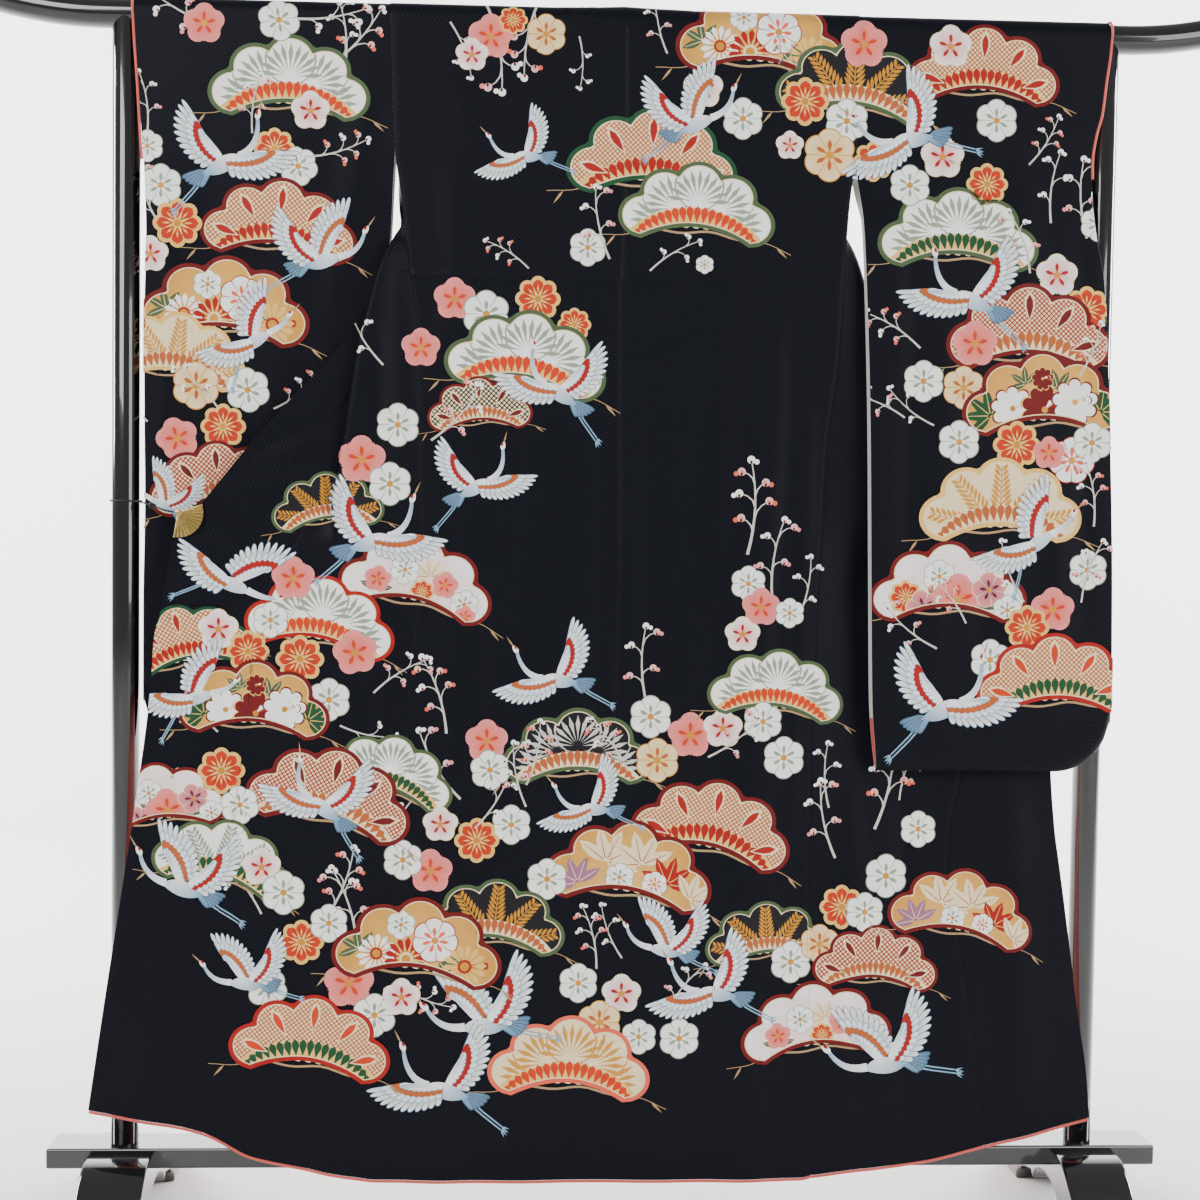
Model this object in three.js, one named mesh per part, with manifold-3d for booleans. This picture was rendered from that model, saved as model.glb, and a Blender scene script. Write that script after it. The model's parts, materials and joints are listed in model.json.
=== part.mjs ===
// A furisode, the long-sleeved formal kimono, hung back outwards on a lacquered kimono stand.
// The rail runs through both sleeves, and both fronts are drawn out sideways in front of or
// behind the sleeves, so back, fronts and overlaps lie spread beside each other.
// Units are millimetres. X runs along the rail, -Y is the side that the back faces, Z is up.
// The origin is on the floor, midway between the two uprights. Left is the wearer's left, at -X.
import * as THREE from "three";
import { mergeVertices } from "three/addons/utils/BufferGeometryUtils.js";
import Module from "manifold-3d";

const wasm = await Module();
wasm.setup();

// ---- Driving dimensions ---------------------------------------------------------------

const WALL = 2; // lined silk, outer cloth and lining together
const SEAM_GAP = 0.3; // between two pieces that are sewn together
const CLEAR = 0.8; // between the cloth and what it hangs on

const RAIL_RADIUS = 20;
const RAIL_AXIS = 1660; // height of the rail's axis
const RAIL_STRAIGHT = 700; // half length of the level middle
const RAIL_HALF = 900;
const RAIL_END_RISE = 36; // how far each end turns up
const UPRIGHT_RADIUS = 19;
const UPRIGHT_X = 672;
const BOARD = { length: 1546, depth: 71, thickness: 28, top: 112, corner: 5 };
const FOOT = { width: 88, reach: 215, pad: 62, shoulder: 104, crown: 60, cusp: 9 };

const SPLIT = 600; // rows of the body panels are level down to here, then follow the hem
const ARMHOLE_END = 1484;
const SIDE_SEAM_TOP = 1356;
const OKUMI_TIP = 1456; // where the overlap panel starts, between front and collar
const WAIST = 1306; // just below the waist tuck, where the fronts are parted again
const COLLAR_END = 862;
const CUFF_END = 1452; // lower end of the hand opening in the sleeve's outer edge
const SLEEVE_CORNER = 75; // radius of the rounded lower corner of the sleeve
const HEM_ROLL = 4; // diameter of the padded roll of lining along the hem
const CUFF_RADIUS = RAIL_RADIUS + CLEAR + 2.4; // of the cuff roll's middle, over the rail
const ROLL_END = 1.6; // how far each roll stops short of the seam beside it
const CUFF_ROLL = 3.6; // the same along the cuffs

const DRAPE_RADIUS = RAIL_RADIUS + CLEAR + WALL / 2; // middle of the wall, round the rail
const QUARTER = (DRAPE_RADIUS * Math.PI) / 2;
const SHOULDER = RAIL_AXIS + QUARTER; // unrolled height of the shoulder line

const FINISH = {
  lacquer: { color: 0x08080a, roughness: 0.12, metalness: 0 },
  silk: { color: 0x0b0d15, roughness: 0.55, metalness: 0 },
  lining: { color: 0xd65a55, roughness: 0.6, metalness: 0 },
  brass: { color: 0xb59a4a, roughness: 0.35, metalness: 1 },
  cord: { color: 0x0c0c0e, roughness: 0.8, metalness: 0 },
};

// ---- Tables ---------------------------------------------------------------------------
// h is the height, unrolled over the rail: above RAIL_AXIS it runs up to SHOULDER.

// Seams and free edges of the back, and where the back stands in depth.
const BACK = [
  // h, centre seam, left side, right side, depth
  { h: SHOULDER, centre: 3, left: -318, right: 327, y: -21.8 },
  { h: 1623, centre: 5, left: -314, right: 325, y: -22.4 },
  { h: 1484, centre: 6, left: -308, right: 321, y: -25 },
  { h: 1424, centre: 5, left: -299, right: 314, y: -28 },
  { h: 1356, centre: 3, left: -290, right: 309, y: -32 },
  { h: 1280, centre: 0, left: -280, right: 305, y: -33.5 },
  { h: 1211, centre: 1, left: -273, right: 301, y: -34 },
  { h: 1081, centre: 4, left: -269, right: 286, y: -34.5 },
  { h: 968, centre: 6, left: -265, right: 282, y: -35 },
  { h: 870, centre: 5, left: -270, right: 279, y: -35.5 },
  { h: 675, centre: 1, left: -284, right: 273, y: -37 },
  { h: 460, centre: -3, left: -300, right: 273, y: -39 },
  { h: 180, centre: -13, left: -325, right: 282, y: -40.5 },
  { h: 70, centre: -17, left: -327, right: 286, y: -41 },
];

// The left front at each height, from the side edge to the free edge. The fold and the tuck
// are the two turns of the deep fold that takes up the width of the cloth where the collar is
// drawn out, and each turn has two points. drop is how much lower the free edge lies.
const FRONT_COLUMNS = ["side", "fold", "foldIn", "tuck", "tuckIn", "okumi", "collar", "edge"];
const FRONT = [
  // h, then x and depth of: side, fold, foldIn, tuck, tuckIn, okumi seam, collar seam, free edge
  [SHOULDER, -318, 21.8, -284, 21.8, -254, 21.8, -194, 21.8, -160, 21.8, -90, 21.8, -90, 21.8, -38, 21.8, 39],
  [1660, -318, 21.8, -286, 21.8, -258, 21.8, -202, 21.8, -174, 21.8, -104, 21.8, -104, 21.8, -60, 21.8, 34],
  [1620, -314, 21.8, -290, 25, -268, 25, -224, 20.6, -198, 20.6, -138, 24, -138, 24, -87, 24, 30],
  [1560, -311, 21.8, -294, 33, -279, 34, -248, 20.6, -230, 21, -188, 32, -188, 32, -127, 26, 20],
  [1520, -310, 21.8, -298, 41, -286, 43, -262, 21, -248, 22, -214, 40, -214, 40, -151, 27, 10],
  [1484, -308, 21, -301, 49, -290, 52, -274, 20, -262, 22, -240, 45, -240, 45, -172, 29, 0],
  [1456, -304, 16, -303, 44, -292, 48, -274, 17, -264, 19, -256, 42, -252, 44, -196, 31, 0],
  [1430, -301, 8, -304, 31, -294, 38, -272, 12, -262, 15, -268, 36, -264, 41, -216, 33, 0],
  [1405, -298, -3, -302, 6, -296, 16, -268, 6, -258, 12, -276, 26, -276, 34, -236, 34, 0],
  [1382, -295, -14, -298, -21, -296, -9, -264, 0, -256, 8, -281, 15, -287, 24, -253, 31, 0],
  [1360, -291, -31, -309, -36, -307, -26, -258, -7, -252, 1, -287, 3, -295, 9, -271, 20, 0],
  [1340, -288, -33, -318, -43, -316, -34, -252, -12, -251, -4, -292, -9, -301, -5, -289, 8, 0],
  [1310, -284, -33.5, -329, -46, -328, -37, -246, -14, -245, -6, -302, -16, -312, -16, -314, -8, 0],
  [1277, -280, -34, -338, -48, -337, -39, -242, -15, -241, -7, -310, -21, -322, -24, -341, -27, 0],
  [1219, -274, -34, -352, -50, -351, -41, -260, -18, -259, -10, -319, -25, -328, -28, -377, -32, 0],
  [1138, -271, -34.5, -365, -51, -364, -42, -282, -25, -281, -17, -345, -30, -372, -33, -449, -38, 0],
  [1088, -270, -34.5, -372, -51, -371, -42, -300, -28, -299, -20, -360, -32, -413, -37, -493, -42, 0],
  [1040, -268, -34.5, -379, -50, -378, -42, -322, -30, -321, -22, -377, -34, -455, -40, -531, -46, 0],
  [1003, -267, -35, -385, -48, -384, -41, -342, -32, -341, -25, -409, -36, -484, -42, -560, -48, 0],
  [978, -266, -35, -372, -46, -382, -43, -382, -37, -390, -33, -423, -36, -506, -43, -581, -49, 0],
  [950, -265, -35, -360, -43, -375, -44, -389, -40, -404, -38, -436, -37, -525, -44, -599, -50, 0],
  [911, -267, -35.5, -345, -42, -372, -42, -396, -38, -410, -38, -459, -38, -541, -44, -608, -49, 0],
  [862, -270, -36, -330, -42, -360, -41, -402, -38, -432, -38, -490, -39, -551, -44, -615, -47, 0],
  [816, -274, -36, -335, -42, -366, -41, -410, -39, -436, -39, -494, -40, -560, -43, -626, -45, 0],
  [756, -278, -36.5, -340, -42, -370, -41, -416, -39, -442, -39, -498, -40, -564, -42, -630, -44, 0],
  [598, -290, -38, -350, -43, -380, -42, -430, -40, -456, -40, -516, -41, -583, -41, -650, -41, 0],
  [460, -300, -39, -362, -43, -392, -42, -446, -41, -474, -41, -538, -42, -604, -40, -671, -38, 0],
  [313, -312, -40, -374, -43, -404, -42, -458, -41, -488, -41, -550, -42, -622, -38, -694, -35, 0],
  [150, -327, -41, -386, -42, -416, -42, -468, -41, -498, -41, -557, -41, -638, -37, -718, -33, 0],
];

// What differs on the right, where the front hangs behind the sleeve: its seams and free edge,
// how far the folds are shifted out, and how far the cloth is set back.
const RIGHT_FRONT = [
  { h: SHOULDER, okumi: 96, edge: 44, slide: 8, back: 0 },
  { h: 1660, okumi: 110, edge: 66, slide: 8, back: 0 },
  { h: 1620, okumi: 144, edge: 93, slide: 9, back: 0 },
  { h: 1484, okumi: 252, edge: 184, slide: 12, back: 0 },
  { h: 1430, okumi: 281, edge: 229, slide: 13, back: 2 },
  { h: 1382, okumi: 296, edge: 268, slide: 13, back: 9 },
  { h: 1340, okumi: 308, edge: 305, slide: 10, back: 16 },
  { h: 1277, okumi: 322, edge: 347, slide: 8, back: 22 },
  { h: 1219, okumi: 331, edge: 383, slide: 10, back: 24 },
  { h: 1088, okumi: 368, edge: 497, slide: 8, back: 24 },
  { h: 1003, okumi: 413, edge: 562, slide: 4, back: 24 },
  { h: 950, okumi: 438, edge: 594, slide: 2, back: 23 },
  { h: 862, okumi: 486, edge: 603, slide: 0, back: 20 },
  { h: 756, okumi: 490, edge: 608, slide: 0, back: 18 },
  { h: 643, okumi: 486, edge: 613, slide: -4, back: 14 },
  { h: 559, okumi: 469, edge: 620, slide: -12, back: 9 },
  { h: 506, okumi: 467, edge: 628, slide: -18, back: 6 },
  { h: 393, okumi: 487, edge: 645, slide: -26, back: 2 },
  { h: 316, okumi: 500, edge: 656, slide: -34, back: 0 },
  { h: 207, okumi: 517, edge: 674, slide: -40, back: 0 },
  { h: 112, okumi: 528, edge: 682, slide: -42, back: 0 },
];

// The hem's height along the whole width of the spread garment.
const HEM = [
  { x: -719, z: 166 },
  { x: -644, z: 149 },
  { x: -594, z: 141 },
  { x: -556, z: 136 },
  { x: -532, z: 119 },
  { x: -480, z: 100 },
  { x: -417, z: 87 },
  { x: -333, z: 70 },
  { x: -20, z: 69 },
  { x: 268, z: 70 },
  { x: 289, z: 75 },
  { x: 393, z: 87 },
  { x: 469, z: 99 },
  { x: 527, z: 116 },
  { x: 627, z: 135 },
  { x: 683, z: 153 },
];

// Sleeves: free inner edge, outer edge, and the depth of the layer towards -Y and of the other.
const SLEEVE_LEFT = [
  { h: SHOULDER, inner: -318, outer: -660, near: -21.8, far: 21.8 },
  { h: 1623, inner: -314, outer: -656, near: -21.8, far: 21.8 },
  { h: 1567, inner: -312, outer: -652, near: -22, far: 21.8 },
  { h: 1484, inner: -308, outer: -647, near: -22, far: 21.4 },
  { h: 1438, inner: -310, outer: -643, near: -21.5, far: 21 },
  { h: 1360, inner: -314, outer: -641.5, near: -19, far: 20.5 },
  { h: 1310, inner: -333, outer: -643, near: -16.5, far: 20 },
  { h: 1250, inner: -346, outer: -644.5, near: -15.5, far: 19 },
  { h: 1100, inner: -352, outer: -643.5, near: -15, far: 17 },
  { h: 1000, inner: -352, outer: -642.5, near: -14.5, far: 16 },
  { h: 860, inner: -352, outer: -644.5, near: -14, far: 14 },
  { h: 655, inner: -350, outer: -644.5, near: -13, far: 12 },
];
const SLEEVE_RIGHT = [
  { h: SHOULDER, inner: 327, outer: 674, near: -21.8, far: 21.8 },
  { h: 1644, inner: 326, outer: 672, near: -21.8, far: 21.8 },
  { h: 1596, inner: 324, outer: 666, near: -23.5, far: 21.8 },
  { h: 1549, inner: 322, outer: 660, near: -26, far: 21.2 },
  { h: 1525, inner: 321, outer: 653, near: -28, far: 18 },
  { h: 1484, inner: 321, outer: 647, near: -31, far: 6 },
  { h: 1446, inner: 325, outer: 647, near: -35, far: -10 },
  { h: 1400, inner: 331, outer: 650, near: -41, far: -24 },
  { h: 1323, inner: 335, outer: 663, near: -50, far: -32 },
  { h: 1121, inner: 343, outer: 674, near: -59, far: -36 },
  { h: 883, inner: 349, outer: 683, near: -61, far: -37 },
  { h: 738, inner: 353, outer: 685, near: -62, far: -38 },
  { h: 649, inner: 361, outer: 685, near: -62, far: -39 },
];
const SLEEVE_BOTTOM = { left: 664, right: 649 };

// The collar round the back of the neck: its seam and free edge, as x and as the distance over
// the shoulder line, which is negative on the back's side. lift is its height off the rail.
const NECK = [
  { seam: 3, seamOver: -39, edge: 3, edgeOver: 18, lift: 4.5 },
  { seam: -28, seamOver: -37.5, edge: -13, edgeOver: 21, lift: 3.4 },
  { seam: -60, seamOver: -30, edge: -25, edgeOver: 27, lift: 2.7 },
  { seam: -80, seamOver: -15, edge: -32, edgeOver: 33, lift: 2 },
  { seam: -90, seamOver: 0, edge: -38, edgeOver: 39, lift: 1.2 },
];

// Long soft folds of the hanging cloth: x at their upper and lower end, and their swell.
const SOFT_FOLDS = [
  { top: 1180, bottom: 60, xTop: -196, xBottom: -236, width: 38, depth: 5 },
  { top: 1060, bottom: 60, xTop: -96, xBottom: -128, width: 52, depth: 4 },
  { top: 980, bottom: 60, xTop: 96, xBottom: 70, width: 58, depth: 4 },
  { top: 1240, bottom: 60, xTop: 212, xBottom: 186, width: 40, depth: 6 },
  { top: 900, bottom: 130, xTop: -560, xBottom: -640, width: 30, depth: 5 },
  { top: 700, bottom: 90, xTop: 540, xBottom: 590, width: 32, depth: 5 },
];

// Rows of the body panels, from the shoulder line down to SPLIT, and below it to the hem.
const ARC_ROWS = [1, 3 / 4, 1 / 2, 1 / 4].map((share) => RAIL_AXIS + QUARTER * share);
const LEVEL_ROWS = [
  1660, 1620, 1570, 1520, ARMHOLE_END, OKUMI_TIP, 1430, 1405, 1382, SIDE_SEAM_TOP, 1334, WAIST,
  1277, 1235, 1185, 1138, 1088, 1040, 1003, 978, 950, 908, COLLAR_END, COLLAR_END - 4, 760, SPLIT,
];
const HEM_ROWS = [0.3, 0.6, 0.85, 1];
const UPPER_ROWS = [...ARC_ROWS, ...LEVEL_ROWS];

// ---- Reading the tables ---------------------------------------------------------------

// A smooth curve through a table's rows that never overshoots them.
function track(rows, by, key) {
  const sorted = [...rows].sort((a, b) => a[by] - b[by]);
  const at = sorted.map((row) => row[by]);
  const value = sorted.map((row) => row[key]);
  const slope = value.slice(1).map((v, i) => (v - value[i]) / (at[i + 1] - at[i]));
  const tangent = value.map((_, i) => {
    const before = slope[i - 1] ?? slope[0];
    const after = slope[i] ?? slope[slope.length - 1];
    return before * after <= 0 ? 0 : (2 * before * after) / (before + after);
  });
  return (where) => {
    const x = Math.min(Math.max(where, at[0]), at[at.length - 1]);
    let i = at.findIndex((a) => a >= x) - 1;
    i = Math.max(0, i);
    const width = at[i + 1] - at[i];
    const t = (x - at[i]) / width;
    return (
      value[i] * (1 + 2 * t) * (1 - t) ** 2 +
      tangent[i] * width * t * (1 - t) ** 2 +
      value[i + 1] * t * t * (3 - 2 * t) +
      tangent[i + 1] * width * t * t * (t - 1)
    );
  };
}

const hemHeight = track(HEM, "x", "z");

const frontRows = FRONT.map((row) => {
  const named = { h: row[0], drop: row[row.length - 1] };
  FRONT_COLUMNS.forEach((column, i) => {
    named[column] = row[1 + 2 * i];
    named[column + "Y"] = row[2 + 2 * i];
  });
  return named;
});

const backTrack = Object.fromEntries(
  ["centre", "left", "right", "y"].map((key) => [key, track(BACK, "h", key)]),
);

// The side edge of a front: sewn to the back below SIDE_SEAM_TOP and to the sleeve above
// ARMHOLE_END, with its own depth above the seam.
const sideDepth = track(frontRows, "h", "sideY");
function sideColumn(side) {
  const sign = side === "left" ? -1 : 1;
  const parted = (h) => h >= SIDE_SEAM_TOP && h < ARMHOLE_END - 1;
  return {
    x: (h) => backTrack[side](h) + (parted(h) ? sign * SEAM_GAP : 0),
    y: (h) => (h <= SIDE_SEAM_TOP ? backTrack.y(h) : sideDepth(h)),
  };
}

// Columns of the left front: x and depth at each height.
const leftFront = Object.fromEntries(
  FRONT_COLUMNS.map((column) => [
    column,
    { x: track(frontRows, "h", column), y: track(frontRows, "h", column + "Y") },
  ]),
);
leftFront.side = sideColumn("left");
const edgeDrop = track(frontRows, "h", "drop");

// Columns of the right front: the left ones mirrored, slid and set back, but for the seams and
// edge that it has of its own.
const rightTrack = Object.fromEntries(
  ["okumi", "edge", "slide", "back"].map((key) => [key, track(RIGHT_FRONT, "h", key)]),
);
function rightX(column) {
  const left = leftFront;
  if (column === "okumi" || column === "edge") return rightTrack[column];
  if (column !== "collar") return (h) => rightTrack.slide(h) - left[column].x(h);
  return (h) =>
    h >= OKUMI_TIP
      ? rightTrack.okumi(h) + left.okumi.x(h) - left.collar.x(h)
      : rightTrack.edge(h) + left.edge.x(h) - left.collar.x(h);
}
const rightFront = Object.fromEntries(
  FRONT_COLUMNS.map((column) => [
    column,
    { x: rightX(column), y: (h) => leftFront[column].y(h) + rightTrack.back(h) },
  ]),
);
rightFront.side = sideColumn("right");

// How far the soft folds swell out of the cloth's own depth.
function swell(x, z) {
  let sum = 0;
  for (const fold of SOFT_FOLDS) {
    const down = (fold.top - z) / (fold.top - fold.bottom);
    if (down <= 0) continue;
    const middle = fold.xTop + (fold.xBottom - fold.xTop) * Math.min(down, 1);
    const across = (x - middle) / fold.width;
    sum += fold.depth * Math.min(1, down * 2.5) * Math.exp(-across * across);
  }
  return sum;
}

// A point of cloth at x, at an unrolled height h, at depth y; above the rail's axis it lies
// round the rail, on the side that y gives. lift stands it off.
function hang(x, y, h, lift = 0) {
  if (h <= RAIL_AXIS) return new THREE.Vector3(x, y + Math.sign(y) * lift, h);
  const angle = (SHOULDER - h) / DRAPE_RADIUS;
  const radius = DRAPE_RADIUS + lift;
  return new THREE.Vector3(
    x,
    Math.sign(y) * radius * Math.sin(angle),
    RAIL_AXIS + radius * Math.cos(angle),
  );
}

// ---- Sheets ---------------------------------------------------------------------------

const TRIM_PER_TURN = 3; // per radian

// Points along a smooth line through the given ones, with a number of steps for each stretch.
function spread(points, steps) {
  const line = new THREE.CatmullRomCurve3(points, false, "centripetal");
  const stretches = points.length - 1;
  const out = [];
  for (let i = 0; i < stretches; i += 1)
    for (let k = 0; k < steps[i]; k += 1) out.push(line.getPoint((i + k / steps[i]) / stretches));
  out.push(points[stretches].clone());
  return out;
}

// A sheet is a grid of points, rows down and columns across, with a normal for each.
function makeSheet(grid, flip = false) {
  const rows = grid.length;
  const columns = grid[0].length;
  const normals = grid.map((row, r) =>
    row.map((_, c) => {
      const down = new THREE.Vector3().subVectors(
        grid[Math.min(r + 1, rows - 1)][c],
        grid[Math.max(r - 1, 0)][c],
      );
      const across = new THREE.Vector3().subVectors(
        row[Math.min(c + 1, columns - 1)],
        row[Math.max(c - 1, 0)],
      );
      const normal = across.cross(down).normalize();
      return flip ? normal.negate() : normal;
    }),
  );
  return { grid, normals };
}

// Two sheets sewn along an edge take the same normal there.
function sew(a, columnA, b, columnB, rowsA, rowsB) {
  for (let i = 0; i < rowsA.length; i += 1) {
    const na = a.normals[rowsA[i]];
    const nb = b.normals[rowsB[i]];
    const shared = new THREE.Vector3().addVectors(na[columnA], nb[columnB]).normalize();
    na[columnA] = shared.clone();
    nb[columnB] = shared.clone();
  }
}

// Draws an edge column of a sheet in by half a seam gap, and by more where the wall turns
// sharply from row to row.
function trim({ grid, normals }, column) {
  const inner = column === 0 ? 1 : grid[0].length - 2;
  grid.forEach((row, r) => {
    const before = normals[Math.max(0, r - 1)][column];
    const after = normals[Math.min(r + 1, grid.length - 1)][column];
    const amount = (SEAM_GAP / 2) * (1 + TRIM_PER_TURN * before.angleTo(after));
    const inwards = new THREE.Vector3().subVectors(row[inner], row[column]).normalize();
    row[column].addScaledVector(inwards, amount);
  });
}

// Parts a sheet at rows of its grid, a seam's gap apart, so that no part bends round the rail and
// hangs as well.
function partRows({ grid, normals }, rows) {
  const cuts = [0, ...rows, grid.length - 1];
  return cuts.slice(1).map((end, i) => {
    const start = cuts[i];
    const strip = grid.slice(start, end + 1).map((row) => row.map((p) => p.clone()));
    const way = (from, to) => strip[to].map((p, c) => p.clone().sub(strip[from][c]).setLength(SEAM_GAP / 2));
    if (i > 0) way(0, 1).forEach((step, c) => strip[0][c].add(step));
    const last = strip.length - 1;
    if (end < grid.length - 1) way(last, last - 1).forEach((step, c) => strip[last][c].add(step));
    return { grid: strip, normals: normals.slice(start, end + 1) };
  });
}

// A closed wall round a surface of points, normals and triangles.
function wallGeometry(points, normals, faces, thickness) {
  const count = points.length;
  const position = [];
  for (const side of [1, -1])
    points.forEach((p, i) => {
      const moved = p.clone().addScaledVector(normals[i], (side * thickness) / 2);
      position.push(moved.x, moved.y, moved.z);
    });
  const index = [];
  const edges = new Map();
  for (const [a, b, c] of faces) {
    index.push(a, b, c, a + count, c + count, b + count);
    for (const [p, q] of [[a, b], [b, c], [c, a]]) {
      if (edges.has(q + "," + p)) edges.delete(q + "," + p);
      else edges.set(p + "," + q, [p, q]);
    }
  }
  for (const [p, q] of edges.values()) index.push(p, q + count, q, p, p + count, q + count);
  const geometry = new THREE.BufferGeometry();
  geometry.setAttribute("position", new THREE.Float32BufferAttribute(position, 3));
  geometry.setIndex(index);
  return geometry;
}

// The wall of a sheet.
function sheetGeometry({ grid, normals }, thickness = WALL) {
  const columns = grid[0].length;
  const faces = [];
  const probe = new THREE.Vector3().subVectors(grid[0][1], grid[0][0]);
  const down = new THREE.Vector3().subVectors(grid[1][0], grid[0][0]);
  const turned = probe.cross(down).dot(normals[0][0]) < 0;
  for (let r = 0; r + 1 < grid.length; r += 1)
    for (let c = 0; c + 1 < columns; c += 1) {
      const a = r * columns + c;
      const quad = [a, a + 1, a + columns + 1, a + columns];
      const falling = grid[r][c].distanceTo(grid[r + 1][c + 1]);
      const rising = grid[r][c + 1].distanceTo(grid[r + 1][c]);
      if (rising < falling) quad.push(quad.shift());
      if (turned) quad.reverse();
      if (turned) quad.unshift(quad.pop());
      faces.push([quad[0], quad[1], quad[2]], [quad[0], quad[2], quad[3]]);
    }
  return wallGeometry(grid.flat(), normals.flat(), faces, thickness);
}

// A round bar along points, with flat ends.
function barGeometry(points, diameter, sides = 8, steps = 0) {
  const section = new THREE.Shape();
  section.absarc(0, 0, diameter / 2, 0, Math.PI * 2, false);
  const path = new THREE.CatmullRomCurve3(points, false, "centripetal");
  return new THREE.ExtrudeGeometry(section, {
    extrudePath: path,
    steps: steps || points.length * 2,
    curveSegments: sides / 2,
    bevelEnabled: false,
  });
}

// ---- Solids ---------------------------------------------------------------------------

function toSolid(geometry) {
  const plain = geometry.index ? geometry.toNonIndexed() : geometry.clone();
  plain.deleteAttribute("normal");
  plain.deleteAttribute("uv");
  const merged = mergeVertices(plain, 1e-3);
  return new wasm.Manifold(
    new wasm.Mesh({
      numProp: 3,
      vertProperties: merged.attributes.position.array,
      triVerts: new Uint32Array(merged.index.array),
    }),
  );
}

function fromSolid(solid) {
  const { vertProperties, triVerts } = solid.getMesh();
  const geometry = new THREE.BufferGeometry();
  geometry.setAttribute("position", new THREE.BufferAttribute(vertProperties, 3));
  geometry.setIndex(new THREE.BufferAttribute(triVerts, 1));
  return geometry;
}

const part = new THREE.Group();

function add(name, finish, geometry) {
  const mesh = new THREE.Mesh(geometry, new THREE.MeshStandardMaterial(FINISH[finish]));
  mesh.name = name;
  part.add(mesh);
  return mesh;
}

// ---- The stand ------------------------------------------------------------------------

// The rail: level in the middle, its ends turned up.
class RailPath extends THREE.Curve {
  getPoint(t, target = new THREE.Vector3()) {
    const x = RAIL_HALF * (2 * t - 1);
    const beyond = Math.max(0, Math.abs(x) - RAIL_STRAIGHT) / (RAIL_HALF - RAIL_STRAIGHT);
    return target.set(x, 0, RAIL_AXIS + RAIL_END_RISE * beyond * beyond);
  }
}

function railGeometry() {
  const section = new THREE.Shape();
  section.absarc(0, 0, RAIL_RADIUS, 0, Math.PI * 2, false);
  return new THREE.ExtrudeGeometry(section, {
    extrudePath: new RailPath(),
    steps: 36,
    curveSegments: 10,
    bevelEnabled: false,
  });
}

// An upright, coped at its head to the underside of the rail.
function uprightGeometry() {
  const foot = BOARD.top + SEAM_GAP;
  const post = new THREE.CylinderGeometry(UPRIGHT_RADIUS, UPRIGHT_RADIUS, RAIL_AXIS - foot, 28);
  post.rotateX(Math.PI / 2).translate(0, 0, (RAIL_AXIS + foot) / 2);
  const bore = RAIL_RADIUS + SEAM_GAP;
  const saddle = new THREE.CylinderGeometry(bore, bore, 4 * UPRIGHT_RADIUS, 40);
  saddle.rotateZ(Math.PI / 2).translate(0, 0, RAIL_AXIS);
  return fromSolid(toSolid(post).subtract(toSolid(saddle)));
}

function roundedRectangle(width, height, radius) {
  const shape = new THREE.Shape();
  const x = width / 2 - radius;
  const y = height / 2 - radius;
  shape.absarc(x, y, radius, 0, Math.PI / 2, false);
  shape.absarc(-x, y, radius, Math.PI / 2, Math.PI, false);
  shape.absarc(-x, -y, radius, Math.PI, 1.5 * Math.PI, false);
  shape.absarc(x, -y, radius, 1.5 * Math.PI, 2 * Math.PI, false);
  shape.closePath();
  return shape;
}

// The board that ties the uprights together below.
function boardGeometry() {
  const shape = roundedRectangle(BOARD.depth, BOARD.thickness, BOARD.corner);
  const geometry = new THREE.ExtrudeGeometry(shape, {
    depth: BOARD.length,
    bevelEnabled: false,
    curveSegments: 4,
  });
  geometry.translate(0, 0, -BOARD.length / 2);
  geometry.rotateX(Math.PI / 2).rotateZ(Math.PI / 2);
  return geometry.translate(0, 0, BOARD.top - BOARD.thickness / 2);
}

// An arched foot, run from front to back under the board, which is let into its crown.
function footGeometry() {
  const { width, reach, pad, shoulder, crown, cusp } = FOOT;
  const half = BOARD.depth / 2;
  const shape = new THREE.Shape();
  shape.moveTo(-reach, 0);
  shape.lineTo(-reach, 10);
  shape.quadraticCurveTo(-reach + 6, 46, -reach + 72, 62);
  shape.bezierCurveTo(-110, 74, -96, shoulder, -half - 18, shoulder);
  shape.lineTo(half + 18, shoulder);
  shape.bezierCurveTo(96, shoulder, 110, 74, reach - 72, 62);
  shape.quadraticCurveTo(reach - 6, 46, reach, 10);
  shape.lineTo(reach, 0);
  shape.lineTo(reach - pad, 0);
  shape.bezierCurveTo(reach - pad - 4, 30, 100, 34, 74, 40);
  shape.lineTo(66, 40 - cusp);
  shape.quadraticCurveTo(50, crown, 0, crown);
  shape.quadraticCurveTo(-50, crown, -66, 40 - cusp);
  shape.lineTo(-74, 40);
  shape.bezierCurveTo(-100, 34, -reach + pad + 4, 30, -reach + pad, 0);
  shape.closePath();
  const edge = 3;
  const geometry = new THREE.ExtrudeGeometry(shape, {
    depth: width - 2 * edge,
    bevelEnabled: true,
    bevelThickness: edge,
    bevelSize: edge,
    bevelOffset: -edge,
    bevelSegments: 1,
    curveSegments: 7,
  });
  geometry.translate(0, 0, -width / 2 + edge);
  geometry.rotateX(Math.PI / 2).rotateZ(Math.PI / 2);
  const room = new THREE.BoxGeometry(
    width + 20,
    BOARD.depth + 2 * SEAM_GAP,
    shoulder,
  ).translate(0, 0, BOARD.top - BOARD.thickness - SEAM_GAP + shoulder / 2);
  const floor = new THREE.BoxGeometry(width + 20, 2 * reach + 40, 40).translate(0, 0, -20);
  const cut = toSolid(room).add(toSolid(floor));
  return fromSolid(toSolid(geometry).subtract(cut));
}

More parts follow.
